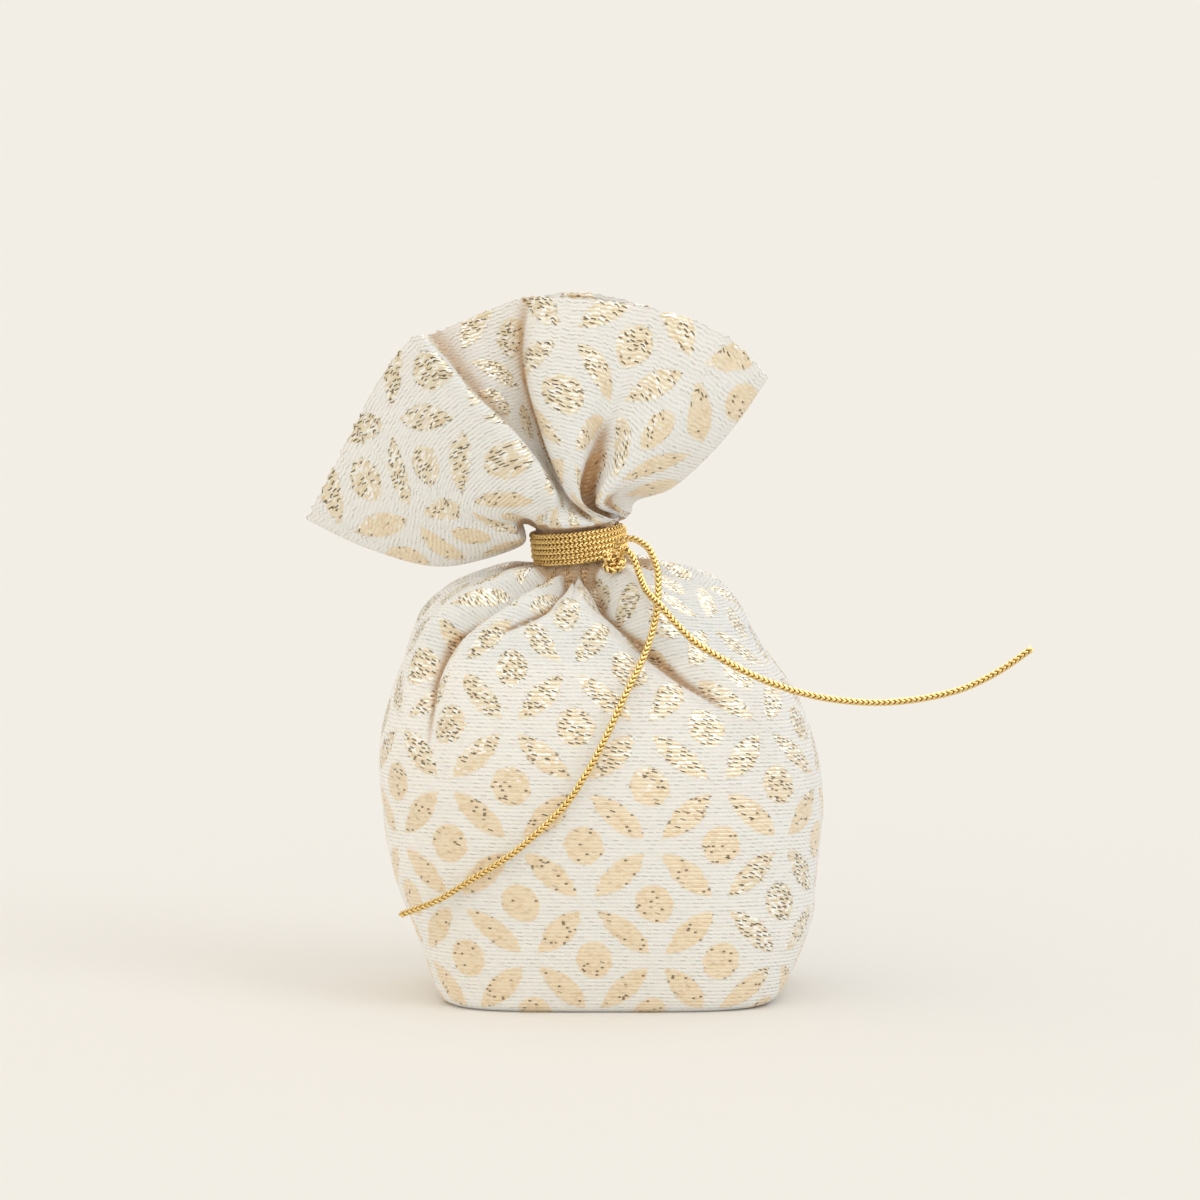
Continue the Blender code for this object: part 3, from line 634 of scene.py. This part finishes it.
@dataclass(frozen=True)
class BrocadeFinish:
    """Off-white ribbed cotton with a woven gold pattern.

    Args:
        white: Colour of the cotton.
        groove: Colour of the gaps between its yarns.
        gold: Colour of the gold floats.
        pale: Colour of the gold floats where they face up: a painted reflection of the room's light.
        dark: Colour of a binding yarn that shows through the gold, and of painted dark reflections,
            which grow denser where the gold faces up.
        glint: Colour of a painted glint, where a float catches the light.
        shade: What the colour is multiplied by in a hollow: painted shade, warm where the cloth lights
            itself.
        deep_gold: Colour of the gold between its finest yarns.
        bump: Height of the ribs in metres.
        pattern_step: Height of one woven step of the pattern's edge in millimetres.
        raggedness: How far one row's end lies from the next one's, in millimetres.
    """

    white: tuple = (0.88, 0.87, 0.845)
    groove: tuple = (0.60, 0.575, 0.53)
    gold: tuple = (0.90, 0.765, 0.575)
    pale: tuple = (0.82, 0.765, 0.62)
    dark: tuple = (0.085, 0.065, 0.028)
    glint: tuple = (1.0, 0.985, 0.93)
    shade: tuple = (0.60, 0.43, 0.29)
    deep_gold: tuple = (0.74, 0.56, 0.35)
    bump: float = 0.00012
    pattern_step: float = 0.34
    raggedness: float = 0.5

    def material(self) -> bpy.types.Material:
        """Build the brocade's material on the cloth's flat coordinates."""
        material = bpy.data.materials.new("brocade")
        material.use_nodes = True
        tree = material.node_tree
        shader = tree.nodes["Principled BSDF"]
        nodes = NodeTree(tree)
        flat = nodes.add("ShaderNodeUVMap", uv_map="flat")
        split = nodes.add("ShaderNodeSeparateXYZ")
        nodes.feed(split.inputs[0], flat.outputs[0])
        u, v = split.outputs[0], split.outputs[1]
        facing = nodes.add("ShaderNodeAttribute", attribute_name="painted_gleam_level").outputs["Fac"]
        rows = nodes.group(yarn_rows_group(), U=u, V=v)
        stepped = nodes.math("MULTIPLY", nodes.math("ADD", nodes.math("FLOOR", nodes.math(
            "DIVIDE", v, self.pattern_step)), 0.5), self.pattern_step)
        ragged = nodes.math("ADD", u, nodes.math("MULTIPLY", nodes.math(
            "SUBTRACT", rows.outputs["Row Random"], 0.5), self.raggedness))
        motif = nodes.group(petal_lattice_group(), U=ragged, V=stepped)
        mask = motif.outputs["Mask"]
        # The cotton's yarns, with dark gaps between their floats
        across, along = rows.outputs["Across"], rows.outputs["Along"]
        chance = rows.outputs["Random"]
        line = nodes.ramp(nodes.math("ABSOLUTE", nodes.math("SUBTRACT", across, 0.12)), 0.20, 0.07)
        ends = nodes.math("MULTIPLY", nodes.ramp(along, 0.02, 0.14), nodes.ramp(along, 0.95, 0.78))
        dash = nodes.math("MULTIPLY", line, ends)
        plain_dash = nodes.math("MULTIPLY", dash, nodes.ramp(chance, 0.35, 0.95))
        cotton = nodes.mix(nodes.math("MULTIPLY", plain_dash, 0.75), (*self.white, 1.0),
                           (*self.groove, 1.0))
        cotton = nodes.mix(nodes.ramp(chance, 0.0, 0.4, 0.16, 0.0), cotton,
                           (*self.groove, 1.0))
        # The gold's floats, with painted reflection: the more they face up, the paler they are
        # painted, with more painted glints and more dark dashes, which are binding yarns and also
        # painted dark reflections
        up = nodes.ramp(facing, -0.13, 0.36)
        # Dark dashes: binding yarns, and painted dark reflections that grow denser where the gold
        # faces up
        rare = nodes.math("SUBTRACT", 0.97, nodes.math("MULTIPLY", up, 0.54))
        floats = nodes.group(yarn_rows_group(), U=u, V=v, Float=1.2, Slant=0.55, Seed=2.0)
        run = floats.outputs["Along"]
        gap = nodes.math("MULTIPLY", nodes.ramp(nodes.math("ABSOLUTE", nodes.math(
            "SUBTRACT", floats.outputs["Across"], 0.5)), 0.22, 0.10), nodes.math(
                "MULTIPLY", nodes.ramp(run, 0.05, 0.15), nodes.ramp(run, 0.90, 0.78)))
        gold_dash = nodes.math("MULTIPLY", gap, nodes.ramp(
            nodes.math("SUBTRACT", floats.outputs["Random"], rare), -0.02, 0.06))
        fine = nodes.group(yarn_rows_group(), U=u, V=nodes.math("ADD", v, 0.17), Pitch=0.34,
                           Float=0.8, Seed=5.0)
        # Painted glints: more of the finest floats are painted glint-white where the gold faces up
        bright = nodes.math("SUBTRACT", 1.02, nodes.math("MULTIPLY", up, 0.33))
        painted_glint = nodes.ramp(nodes.math("SUBTRACT", fine.outputs["Random"], bright), -0.02, 0.08)
        # Painted reflection: the gold is painted paler the more it faces up
        gold = nodes.mix(nodes.math("MULTIPLY", up, 0.75), (*self.gold, 1.0), (*self.pale, 1.0))
        gold = nodes.mix(nodes.ramp(fine.outputs["Random"], 0.0, 0.55, 0.60, 0.0), gold,
                         (*self.deep_gold, 1.0))
        gold = nodes.mix(painted_glint, gold, (*self.glint, 1.0))
        spot = nodes.math("MULTIPLY", nodes.ramp(fine.outputs["Random"], 0.055, 0.045),
                          nodes.ramp(fine.outputs["Along"], 0.72, 0.55))
        gold = nodes.mix(nodes.math("MULTIPLY", spot, 0.8), gold, (*self.dark, 1.0))
        gold = nodes.mix(gold_dash, gold, (*self.dark, 1.0))
        # Both together, with painted shade: darker and warmer in the cloth's hollows
        sunk = nodes.add("ShaderNodeAttribute", attribute_name="hollow").outputs["Fac"]
        hollow_shaded = nodes.fed("ShaderNodeMix", {
            "Factor": nodes.ramp(sunk, 0.04, 0.62), 6: nodes.mix(mask, cotton, gold),
            7: (*self.shade, 1.0)}, data_type="RGBA", blend_type="MULTIPLY")
        nodes.feed(shader.inputs["Base Color"], hollow_shaded.outputs[2])
        nodes.feed(shader.inputs["Roughness"], nodes.math("SUBTRACT", 0.85, nodes.math(
            "MULTIPLY", mask, 0.45)))
        nodes.feed(shader.inputs["Metallic"], nodes.math("MULTIPLY", mask, 0.25))
        nodes.feed(shader.inputs["Specular IOR Level"], nodes.ramp(mask, 0.0, 1.0, 0.15, 0.5))
        for label, value in (("Sheen Weight", 0.3), ("Subsurface Weight", 0.22),
                             ("Subsurface Radius", (1.0, 0.62, 0.38)),
                             ("Subsurface Scale", 0.0025)):
            shader.inputs[label].default_value = value
        height = nodes.math("SUBTRACT", rows.outputs["Height"], nodes.math(
            "MULTIPLY", nodes.math("MULTIPLY", dash, chance), 0.6))
        height = nodes.math("ADD", height, nodes.math("MULTIPLY", nodes.math(
            "MULTIPLY", chance, mask), 0.8))
        bump = nodes.fed("ShaderNodeBump", {"Distance": self.bump, "Strength": 0.8,
                                            "Height": height})
        nodes.feed(shader.inputs["Normal"], bump.outputs[0])
        return material


@dataclass(frozen=True)
class GoldCordFinish:
    """Bright gold metallic yarn.

    Args:
        gold: Colour of the yarn.
        deep: Colour between the filaments.
        gap: Colour seen between the stitches, painted on the cord's core as painted shade.
        roughness: Roughness of the yarn.
    """

    gold: tuple = (0.97, 0.77, 0.37)
    deep: tuple = (0.80, 0.53, 0.18)
    gap: tuple = (0.22, 0.12, 0.03)
    roughness: float = 0.24

    def material(self) -> bpy.types.Material:
        """Build the cord's material, with fine filaments along its strands."""
        material = bpy.data.materials.new("gold_cord")
        material.use_nodes = True
        tree = material.node_tree
        shader = tree.nodes["Principled BSDF"]
        nodes = NodeTree(tree)
        place = nodes.add("ShaderNodeTexCoord").outputs["Object"]
        grain = nodes.fed("ShaderNodeTexNoise", {"Vector": place, "Scale": 5200.0, "Detail": 1.0})
        patch = nodes.fed("ShaderNodeTexNoise", {"Vector": place, "Scale": 900.0})
        share = nodes.ramp(grain.outputs[0], 0.36, 0.62)
        colour = nodes.mix(share, (*self.deep, 1.0), (*self.gold, 1.0))
        # Painted shade: the core, seen between the stitches, takes the dark gap colour
        core = nodes.add("ShaderNodeAttribute", attribute_name="core").outputs["Fac"]
        nodes.feed(shader.inputs["Base Color"], nodes.mix(core, colour, (*self.gap, 1.0)))
        shader.inputs["Metallic"].default_value = 0.9
        nodes.feed(shader.inputs["Roughness"], nodes.ramp(
            patch.outputs[0], 0.3, 0.7, self.roughness - 0.08, self.roughness + 0.12))
        bump = nodes.fed("ShaderNodeBump", {"Distance": 0.00005, "Strength": 0.7,
                                            "Height": grain.outputs[0]})
        nodes.feed(shader.inputs["Normal"], bump.outputs[0])
        return material


def finish_piece(item: bpy.types.Object) -> None:
    """Let a piece ride on the one body."""
    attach(item, "root")
    LOG.info("%s: %d faces", item.name, len(item.data.polygons))


@dataclass
class BagCloth:
    """The whole cloth as one closed thin shell.

    Args:
        columns: Columns round the cloth.
        body_rings: Rings up the body's outer face.
        ruffle_rings: Rings up the ruffle, outside and inside.
        lining_step: Every how many rings the inside follows the cloth over the filling.
        lining_depth: How deep it lies there, in metres, where nothing can see it.
        thickness: Thickness of the cloth in metres.
    """

    columns: int = 400
    body_rings: int = 112
    ruffle_rings: int = 54
    lining_step: int = 14
    lining_depth: float = 0.0015
    thickness: float = 0.0004

    def outer_grid(self) -> np.ndarray:
        """Return the rings of the outer face, from the base's rim to the mouth."""
        body = BodyForm.with_columns(self.columns)
        ruffle = RuffleForm(body.bearings)
        low = body.rings(np.linspace(0.0, TOP_PLACE, self.body_rings))
        high = ruffle.rings(np.linspace(0.0, 1.0, self.ruffle_rings))
        high[-1] += self.frayed(high)
        return np.concatenate((low, high)) + PART_SHIFT

    def frayed(self, rings: np.ndarray) -> np.ndarray:
        """Return how far each point of the mouth's cut edge stands out of line."""
        random = np.random.default_rng(7)
        reach = random.uniform(-0.10, 0.30, self.columns) + 0.35 * (random.random(self.columns) > 0.93)
        edge = rings[-1] - rings[-2]
        return edge / np.linalg.norm(edge, axis=1)[:, None] * reach[:, None] * MM

    def flat_grid(self, grid: np.ndarray) -> np.ndarray:
        """Return the flat coordinates of the outer face in millimetres, one more column than it."""
        steps = np.linalg.norm(np.diff(grid, axis=0), axis=2) / MM
        body = smooth_round(steps[:self.body_rings - 1], self.columns // 24)
        low = np.concatenate((np.zeros((1, self.columns)), np.cumsum(body, axis=0)))
        free = np.cumsum(steps[self.body_rings:], axis=0)
        share = np.concatenate((np.zeros((1, self.columns)), free / free[-1]))
        mouth = low[-1].mean() + free[-1].mean()
        high = low[-1] + (mouth - low[-1]) * share
        across = np.linspace(0.0, FLAT_ROUND, self.columns + 1)
        parts = []
        for up, shift in ((low, BODY_PATTERN_SHIFT), (high, RUFFLE_PATTERN_SHIFT)):
            up = np.concatenate((up, up[:, :1]), axis=1)
            parts.append(np.stack((across[None].repeat(len(up), axis=0), up), axis=-1) + shift)
        return np.concatenate(parts)

    @staticmethod
    def gleam(rings: np.ndarray) -> np.ndarray:
        """Return how much more painted gleam the gold gets than its facing alone gives it.

        Args:
            rings: The cloth's rings in metres.

        Returns:
            A value for each point: the ruffle's, more on its left lobe, and the pinched corner's.
        """
        right, front, up = rings.reshape(-1, 3).T
        height = up / MM
        leftness = -(right - PART_SHIFT[0]) / MM
        lobe = np.clip((leftness - 8.0) / 6.0, 0.0, 1.0)
        lift = np.where(height - NECK_TOP / MM > -3.0, 0.10 + 0.32 * lobe, 0.0)
        corner = ((-leftness - 34.0) / 8.0) ** 2 + ((height - 16.0) / 12.0) ** 2
        return lift + np.where(front < 0.0, 0.55 * np.exp(-corner ** 2), 0.0)

    def build(self, material: bpy.types.Material) -> bpy.types.Object:
        """Build the cloth.

        Args:
            material: The brocade.

        Returns:
            The cloth's object.
        """
        outer = self.outer_grid()
        normals = grid_normals(outer)
        flat = self.flat_grid(outer)
        body = self.body_rings
        gathered = body * 2 // 3
        keep = (list(range(len(outer) - 1, body, -1)) + list(range(body, gathered, -2))
                + list(range(gathered, 0, -self.lining_step)))
        depth = np.where(np.arange(len(outer)) > gathered, self.thickness, self.lining_depth)
        inner = (outer - normals * depth[:, None, None])[keep]
        rings = np.concatenate((outer, inner))
        flats = np.concatenate((flat, flat[keep]))
        count = self.columns
        vertices = [rings[0].mean(axis=0)] + list(rings.reshape(-1, 3)) + [inner[-1].mean(axis=0)]
        faces = [(0, 1 + (index + 1) % count, 1 + index) for index in range(count)]
        corner_flats = [(FLAT_POLE, tuple(flats[0, index + 1]), tuple(flats[0, index]))
                        for index in range(count)]
        for level in range(len(rings) - 1):
            low, high = 1 + level * count, 1 + (level + 1) * count
            for index in range(count):
                after = (index + 1) % count
                faces.append((low + index, low + after, high + after, high + index))
                corner_flats.append((flats[level, index], flats[level, index + 1],
                                     flats[level + 1, index + 1], flats[level + 1, index]))
        last = 1 + (len(rings) - 1) * count
        pole = len(vertices) - 1
        for index in range(count):
            faces.append((last + index, last + (index + 1) % count, pole))
            corner_flats.append((flats[-1, index], flats[-1, index + 1], FLAT_POLE))
        mesh = bpy.data.meshes.new("brocade_cloth")
        mesh.from_pydata([tuple(point) for point in vertices], [], faces)
        layer = mesh.uv_layers.new(name="flat")
        values = np.array([corner for face in corner_flats for corner in face], dtype=np.float32)
        layer.data.foreach_set("uv", values.ravel())
        mesh.shade_smooth()
        mesh.update()
        # Painted reflection: how far each point faces up, plus its gleam, sets how pale and glinting
        # the gold is painted
        facing = mesh.attributes.new("painted_gleam_level", "FLOAT", "POINT")
        facing.data.foreach_set("value", np.array([vertex.normal.z for vertex in mesh.vertices])
                                + np.concatenate(((0.0,), self.gleam(rings), (0.0,))))
        # How sunk each point lies, which the brocade turns into painted shade
        sunk = hollowness(outer, 9) / MM
        hollow = mesh.attributes.new("hollow", "FLOAT", "POINT")
        hollow.data.foreach_set("value", np.concatenate(
            ((0.0,), sunk.ravel(), sunk[keep].ravel(), (0.0,))).astype(np.float32))
        mesh.materials.append(material)
        item = bpy.data.objects.new("brocade_cloth", mesh)
        bpy.context.scene.collection.objects.link(item)
        finish_piece(item)
        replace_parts(item, "cloth_bag")
        return item


@dataclass
class KnittedCord:
    """A round cord of knitted stitches along a route, made by Geometry Nodes.

    Args:
        name: The piece's name.
        route: Points along its middle, in metres.
        diameter: Its diameter in metres.
        wales: Columns of stitches round it.
        closed: Whether the route runs back into itself.
    """

    name: str
    route: np.ndarray
    diameter: float
    wales: int = 3
    closed: bool = False

    @staticmethod
    def node_group() -> bpy.types.NodeTree:
        """Build the node group that sets rings of stitches along a curve."""
        if "Knitted cord" in bpy.data.node_groups:
            return bpy.data.node_groups["Knitted cord"]
        tree = bpy.data.node_groups.new("Knitted cord", "GeometryNodeTree")
        face = tree.interface
        face.new_socket("Geometry", in_out="INPUT", socket_type="NodeSocketGeometry")
        for label, value in (("Pitch", 0.0009), ("Ring Radius", 0.0003), ("Stitch Length", 0.0012),
                             ("Stitch Width", 0.0004), ("Slant", 0.5), ("Core Radius", 0.0003)):
            face.new_socket(label, in_out="INPUT", socket_type="NodeSocketFloat").default_value = value
        wales = face.new_socket("Wales", in_out="INPUT", socket_type="NodeSocketInt")
        wales.default_value = 3
        face.new_socket("Material", in_out="INPUT", socket_type="NodeSocketMaterial")
        face.new_socket("Geometry", in_out="OUTPUT", socket_type="NodeSocketGeometry")
        nodes = NodeTree(tree)
        given = nodes.add("NodeGroupInput").outputs
        spaced = nodes.fed("GeometryNodeCurveToPoints", {
            "Curve": given["Geometry"], "Length": given["Pitch"]}, mode="LENGTH")
        stitch = nodes.fed("GeometryNodeMeshUVSphere", {"Segments": 8, "Rings": 6, "Radius": 0.5})
        places = nodes.fed("GeometryNodeMeshCircle", {
            "Vertices": nodes.math("MULTIPLY", given["Wales"], 2.0), "Radius": given["Ring Radius"]})
        index = nodes.add("GeometryNodeInputIndex").outputs[0]
        turn = nodes.math("DIVIDE", nodes.math("MULTIPLY", index, math.pi), given["Wales"])
        side = nodes.math("SUBTRACT", 1.0, nodes.math("MULTIPLY", nodes.math(
            "MODULO", index, 2.0), 2.0))
        tilt = nodes.math("MULTIPLY", side, given["Slant"])
        first = nodes.fed("FunctionNodeEulerToRotation", {0: nodes.vector(tilt)})
        second = nodes.fed("FunctionNodeEulerToRotation", {0: nodes.vector(0.0, 0.0, turn)})
        both = nodes.fed("FunctionNodeRotateRotation", {0: first.outputs[0], 1: second.outputs[0]})
        ring = nodes.fed("GeometryNodeInstanceOnPoints", {
            "Points": places.outputs[0], "Instance": stitch.outputs["Mesh"],
            "Rotation": both.outputs[0],
            "Scale": nodes.vector(given["Stitch Width"], given["Stitch Width"],
                                  given["Stitch Length"])})
        course = nodes.fed("GeometryNodeRealizeInstances", {0: ring.outputs[0]})
        courses = nodes.fed("GeometryNodeInstanceOnPoints", {
            "Points": spaced.outputs["Points"], "Instance": course.outputs[0],
            "Rotation": spaced.outputs["Rotation"]})
        profile = nodes.fed("GeometryNodeCurvePrimitiveCircle", {
            "Resolution": 8, "Radius": given["Core Radius"]})
        core = nodes.fed("GeometryNodeCurveToMesh", {
            "Curve": given["Geometry"], "Profile Curve": profile.outputs[0], "Fill Caps": True})
        # The core is marked for the material, which paints it dark as painted shade between the
        # stitches
        marked = nodes.fed("GeometryNodeStoreNamedAttribute", {
            "Geometry": core.outputs[0], "Name": "core", "Value": 1.0},
            data_type="FLOAT", domain="POINT")
        joined = nodes.fed("GeometryNodeJoinGeometry", {0: marked.outputs[0]})
        nodes.feed(joined.inputs[0], courses.outputs[0])
        smooth = nodes.fed("GeometryNodeSetShadeSmooth", {0: joined.outputs[0]})
        painted = nodes.fed("GeometryNodeSetMaterial", {
            "Geometry": smooth.outputs[0], "Material": given["Material"]})
        real = nodes.fed("GeometryNodeRealizeInstances", {0: painted.outputs[0]})
        nodes.fed("NodeGroupOutput", {0: real.outputs[0]})
        return tree

    def build(self, material: bpy.types.Material) -> bpy.types.Object:
        """Build the cord as a plain mesh."""
        curve = bpy.data.curves.new(self.name, "CURVE")
        curve.dimensions = "3D"
        spline = curve.splines.new("POLY")
        spline.points.add(len(self.route) - 1)
        for knot, point in zip(spline.points, self.route):
            knot.co = (*point, 1.0)
        spline.use_cyclic_u = self.closed
        guide = bpy.data.objects.new(self.name + "_guide", curve)
        bpy.context.scene.collection.objects.link(guide)
        modifier = guide.modifiers.new("Knit", "NODES")
        group = self.node_group()
        modifier.node_group = group
        size = self.diameter
        chosen = {"Pitch": 0.80 * size, "Ring Radius": 0.34 * size, "Stitch Length": 1.12 * size,
                  "Stitch Width": 0.37 * size, "Slant": 0.55, "Core Radius": 0.33 * size,
                  "Wales": self.wales, "Material": material}
        for socket in group.interface.items_tree:
            if socket.name in chosen and socket.in_out == "INPUT":
                modifier[socket.identifier] = chosen[socket.name]
        graph = bpy.context.evaluated_depsgraph_get()
        mesh = bpy.data.meshes.new_from_object(guide.evaluated_get(graph))
        mesh.name = self.name
        bpy.data.objects.remove(guide, do_unlink=True)
        item = bpy.data.objects.new(self.name, mesh)
        bpy.context.scene.collection.objects.link(item)
        finish_piece(item)
        return item


@dataclass
class TieCord:
    """The tie cord: its turns round the neck, its knot and its two free ends.

    Args:
        material: The gold yarn.
    """

    material: bpy.types.Material

    @staticmethod
    def knot_middle() -> np.ndarray:
        """Return the middle of the knot, against the lower right of the binding."""
        binding = NECK_RADIUS + SEAT_GAP + BOUND_CORD_DIAMETER / 2.0
        radius = (binding + BOUND_CORD_DIAMETER / 2.0 + SEAT_GAP
                  + (KNOT_WEAVE_RADIUS + 0.5) * BOUND_CORD_DIAMETER + KNOT_STANDOFF)
        return neck_points(np.array(KNOT_ANGLE), radius, KNOT_RISE)

    @staticmethod
    def binding_route() -> np.ndarray:
        """Return the helix of turns round the neck."""
        pitch = BOUND_CORD_DIAMETER + TURN_GAP
        radius = NECK_RADIUS + SEAT_GAP + BOUND_CORD_DIAMETER / 2.0
        turns = np.linspace(0.0, CORD_TURNS, int(CORD_TURNS * TURN_STEPS) + 1)
        lowest = SEAT_GAP + BOUND_CORD_DIAMETER / 2.0
        return neck_points(BINDING_START + 2.0 * math.pi * turns, radius,
                           lowest + turns * pitch) + PART_SHIFT

    @classmethod
    def knot_route(cls) -> np.ndarray:
        """Return the closed run of an overhand knot that faces out from the neck."""
        angle = np.arange(KNOT_STEPS) / KNOT_STEPS * 2.0 * math.pi
        reach = (KNOT_LOOP_RADIUS + KNOT_WEAVE_RADIUS * np.cos(3.0 * angle))[:, None]
        level, rise = math.cos(KNOT_LEAN), math.sin(KNOT_LEAN)
        away = np.array((math.sin(KNOT_ANGLE), -math.cos(KNOT_ANGLE), 0.0))
        sideways = np.array((math.cos(KNOT_ANGLE), math.sin(KNOT_ANGLE), 0.0))
        outward = away * level + np.array((0.0, 0.0, rise))
        upward = np.array((0.0, 0.0, level)) - away * rise
        run = (sideways * reach * np.cos(2.0 * angle)[:, None]
               + upward * reach * np.sin(2.0 * angle)[:, None]
               + outward * KNOT_WEAVE_RADIUS * np.sin(3.0 * angle)[:, None])
        return cls.knot_middle() + BOUND_CORD_DIAMETER * run + PART_SHIFT

    @classmethod
    def tail_route(cls, route: Sequence[tuple]) -> np.ndarray:
        """Return a smooth run of points along a free end."""
        points = cls.knot_middle() + np.array(route) * MM
        places = np.linspace(0.0, len(points) - 1.0, TAIL_STEPS * len(points))
        return smooth_rows(points, places) + PART_SHIFT

    def build(self) -> None:
        """Build the four stretches of the cord."""
        binding = KnittedCord("cord_binding", self.binding_route(),
                              BINDING_FULLNESS * BOUND_CORD_DIAMETER)
        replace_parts(binding.build(self.material), "neck_binding")
        knot = KnittedCord("cord_knot", self.knot_route(), KNOT_FULLNESS * BOUND_CORD_DIAMETER,
                           closed=True)
        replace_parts(knot.build(self.material), "tie_knot")
        for name, node, route in (("cord_left_end", "left_tail", LEFT_TAIL_ROUTE),
                                  ("cord_right_end", "right_tail", RIGHT_TAIL_ROUTE)):
            points = self.tail_route(route)
            item = KnittedCord(name, points, CORD_DIAMETER).build(self.material)
            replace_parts(item, node)


@dataclass
class Studio:
    """Camera, lights and floor.

    Args:
        backdrop: Colour of the floor.
        far_wall: Colour seen past the floor's end, which is how the lit floor looks.
        key: Strength of the key light.
        room: Strength of the room's light.
        elevation: The camera's angle above the horizon, in radians.
        distance: Its distance in metres.
        width: How much it sees across at the bag, in metres.
        aim: What it looks at.
    """

    backdrop: tuple = (0.845, 0.832, 0.810)
    far_wall: tuple = (0.888, 0.855, 0.791)
    key: float = 0.42
    room: float = 0.875
    elevation: float = math.radians(7.0)
    distance: float = 1.43
    width: float = 0.2052
    aim: tuple = (0.00581, 0.0, 0.0677)

    def build_camera(self) -> None:
        """Build the camera at the photograph's angle."""
        lens = bpy.data.cameras.new("camera")
        lens.sensor_width = 36.0
        lens.lens = 36.0 * self.distance / self.width
        lens.clip_start = 0.05
        item = bpy.data.objects.new("camera", lens)
        reach = Vector((0.0, -math.cos(self.elevation), math.sin(self.elevation))) * self.distance
        item.location = Vector(self.aim) + reach
        item.rotation_euler = (math.pi / 2.0 - self.elevation, 0.0, 0.0)
        bpy.context.scene.collection.objects.link(item)
        bpy.context.scene.camera = item

    def build_floor(self) -> None:
        """Build the pale floor, which fills the view up to its top."""
        mesh = bpy.data.meshes.new("floor")
        mesh.from_pydata([(-9.0, -4.0, 0.0), (9.0, -4.0, 0.0), (9.0, 14.0, 0.0), (-9.0, 14.0, 0.0)],
                         [], [(0, 1, 2, 3)])
        material = bpy.data.materials.new("floor_paper")
        material.use_nodes = True
        shader = material.node_tree.nodes["Principled BSDF"]
        shader.inputs["Base Color"].default_value = (*self.backdrop, 1.0)
        shader.inputs["Roughness"].default_value = 1.0
        shader.inputs["Specular IOR Level"].default_value = 0.0
        mesh.materials.append(material)
        item = bpy.data.objects.new("floor", mesh)
        bpy.context.scene.collection.objects.link(item)

    def build_lights(self) -> None:
        """Build a wide soft key from the upper right and the room's light."""
        lamp = bpy.data.lights.new("key", "SUN")
        lamp.energy = self.key
        lamp.angle = math.radians(32.0)
        lamp.color = (0.94, 0.975, 1.0)
        item = bpy.data.objects.new("key", lamp)
        item.rotation_euler = Vector((-0.62, 0.42, -0.66)).to_track_quat("-Z", "Y").to_euler()
        bpy.context.scene.collection.objects.link(item)
        world = bpy.data.worlds.new("room")
        world.use_nodes = True
        nodes = NodeTree(world.node_tree)
        direction = nodes.add("ShaderNodeSeparateXYZ")
        nodes.feed(direction.inputs[0], nodes.add("ShaderNodeTexCoord").outputs["Generated"])
        above = nodes.ramp(direction.outputs["Z"], 0.02, 0.75, 0.10, 2.5)
        side = nodes.ramp(direction.outputs["X"], -0.5, 0.6, 0.55, 1.35)
        mirrored = nodes.math("MULTIPLY", above, side)
        path = nodes.add("ShaderNodeLightPath")
        glossy, seen = path.outputs["Is Glossy Ray"], path.outputs["Is Camera Ray"]
        leftward = nodes.math("ADD", nodes.math("MULTIPLY", direction.outputs["X"], -0.8),
                              nodes.math("MULTIPLY", direction.outputs["Y"], -0.5))
        fill = nodes.ramp(leftward, -0.2, 0.9)
        spread = nodes.math("MULTIPLY", nodes.math("ADD", nodes.math("MULTIPLY", fill, 0.43), 1.0),
                            self.room)
        strength = nodes.math("ADD", nodes.math("MULTIPLY", nodes.math(
            "SUBTRACT", 1.0, glossy), spread), nodes.math("MULTIPLY", glossy, mirrored))
        shade = world.node_tree.nodes["Background"]
        light = nodes.mix(fill, (1.0, 0.985, 0.955, 1.0), (1.0, 0.915, 0.78, 1.0))
        nodes.feed(shade.inputs["Color"], nodes.mix(seen, light, (*self.far_wall, 1.0)))
        nodes.feed(shade.inputs["Strength"], nodes.math("ADD", seen, nodes.math(
            "MULTIPLY", nodes.math("SUBTRACT", 1.0, seen), strength)))
        bpy.context.scene.world = world

    def build(self) -> None:
        """Build the whole studio."""
        self.build_camera()
        self.build_floor()
        self.build_lights()
        bpy.context.scene.view_settings.view_transform = "Standard"


def main() -> None:
    """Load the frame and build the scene."""
    logging.basicConfig(level=logging.INFO, format="%(name)s: %(message)s")
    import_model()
    Studio().build()
    TieCord(GoldCordFinish().material()).build()
    BagCloth().build(BrocadeFinish().material())


if __name__ == "__main__":
    main()
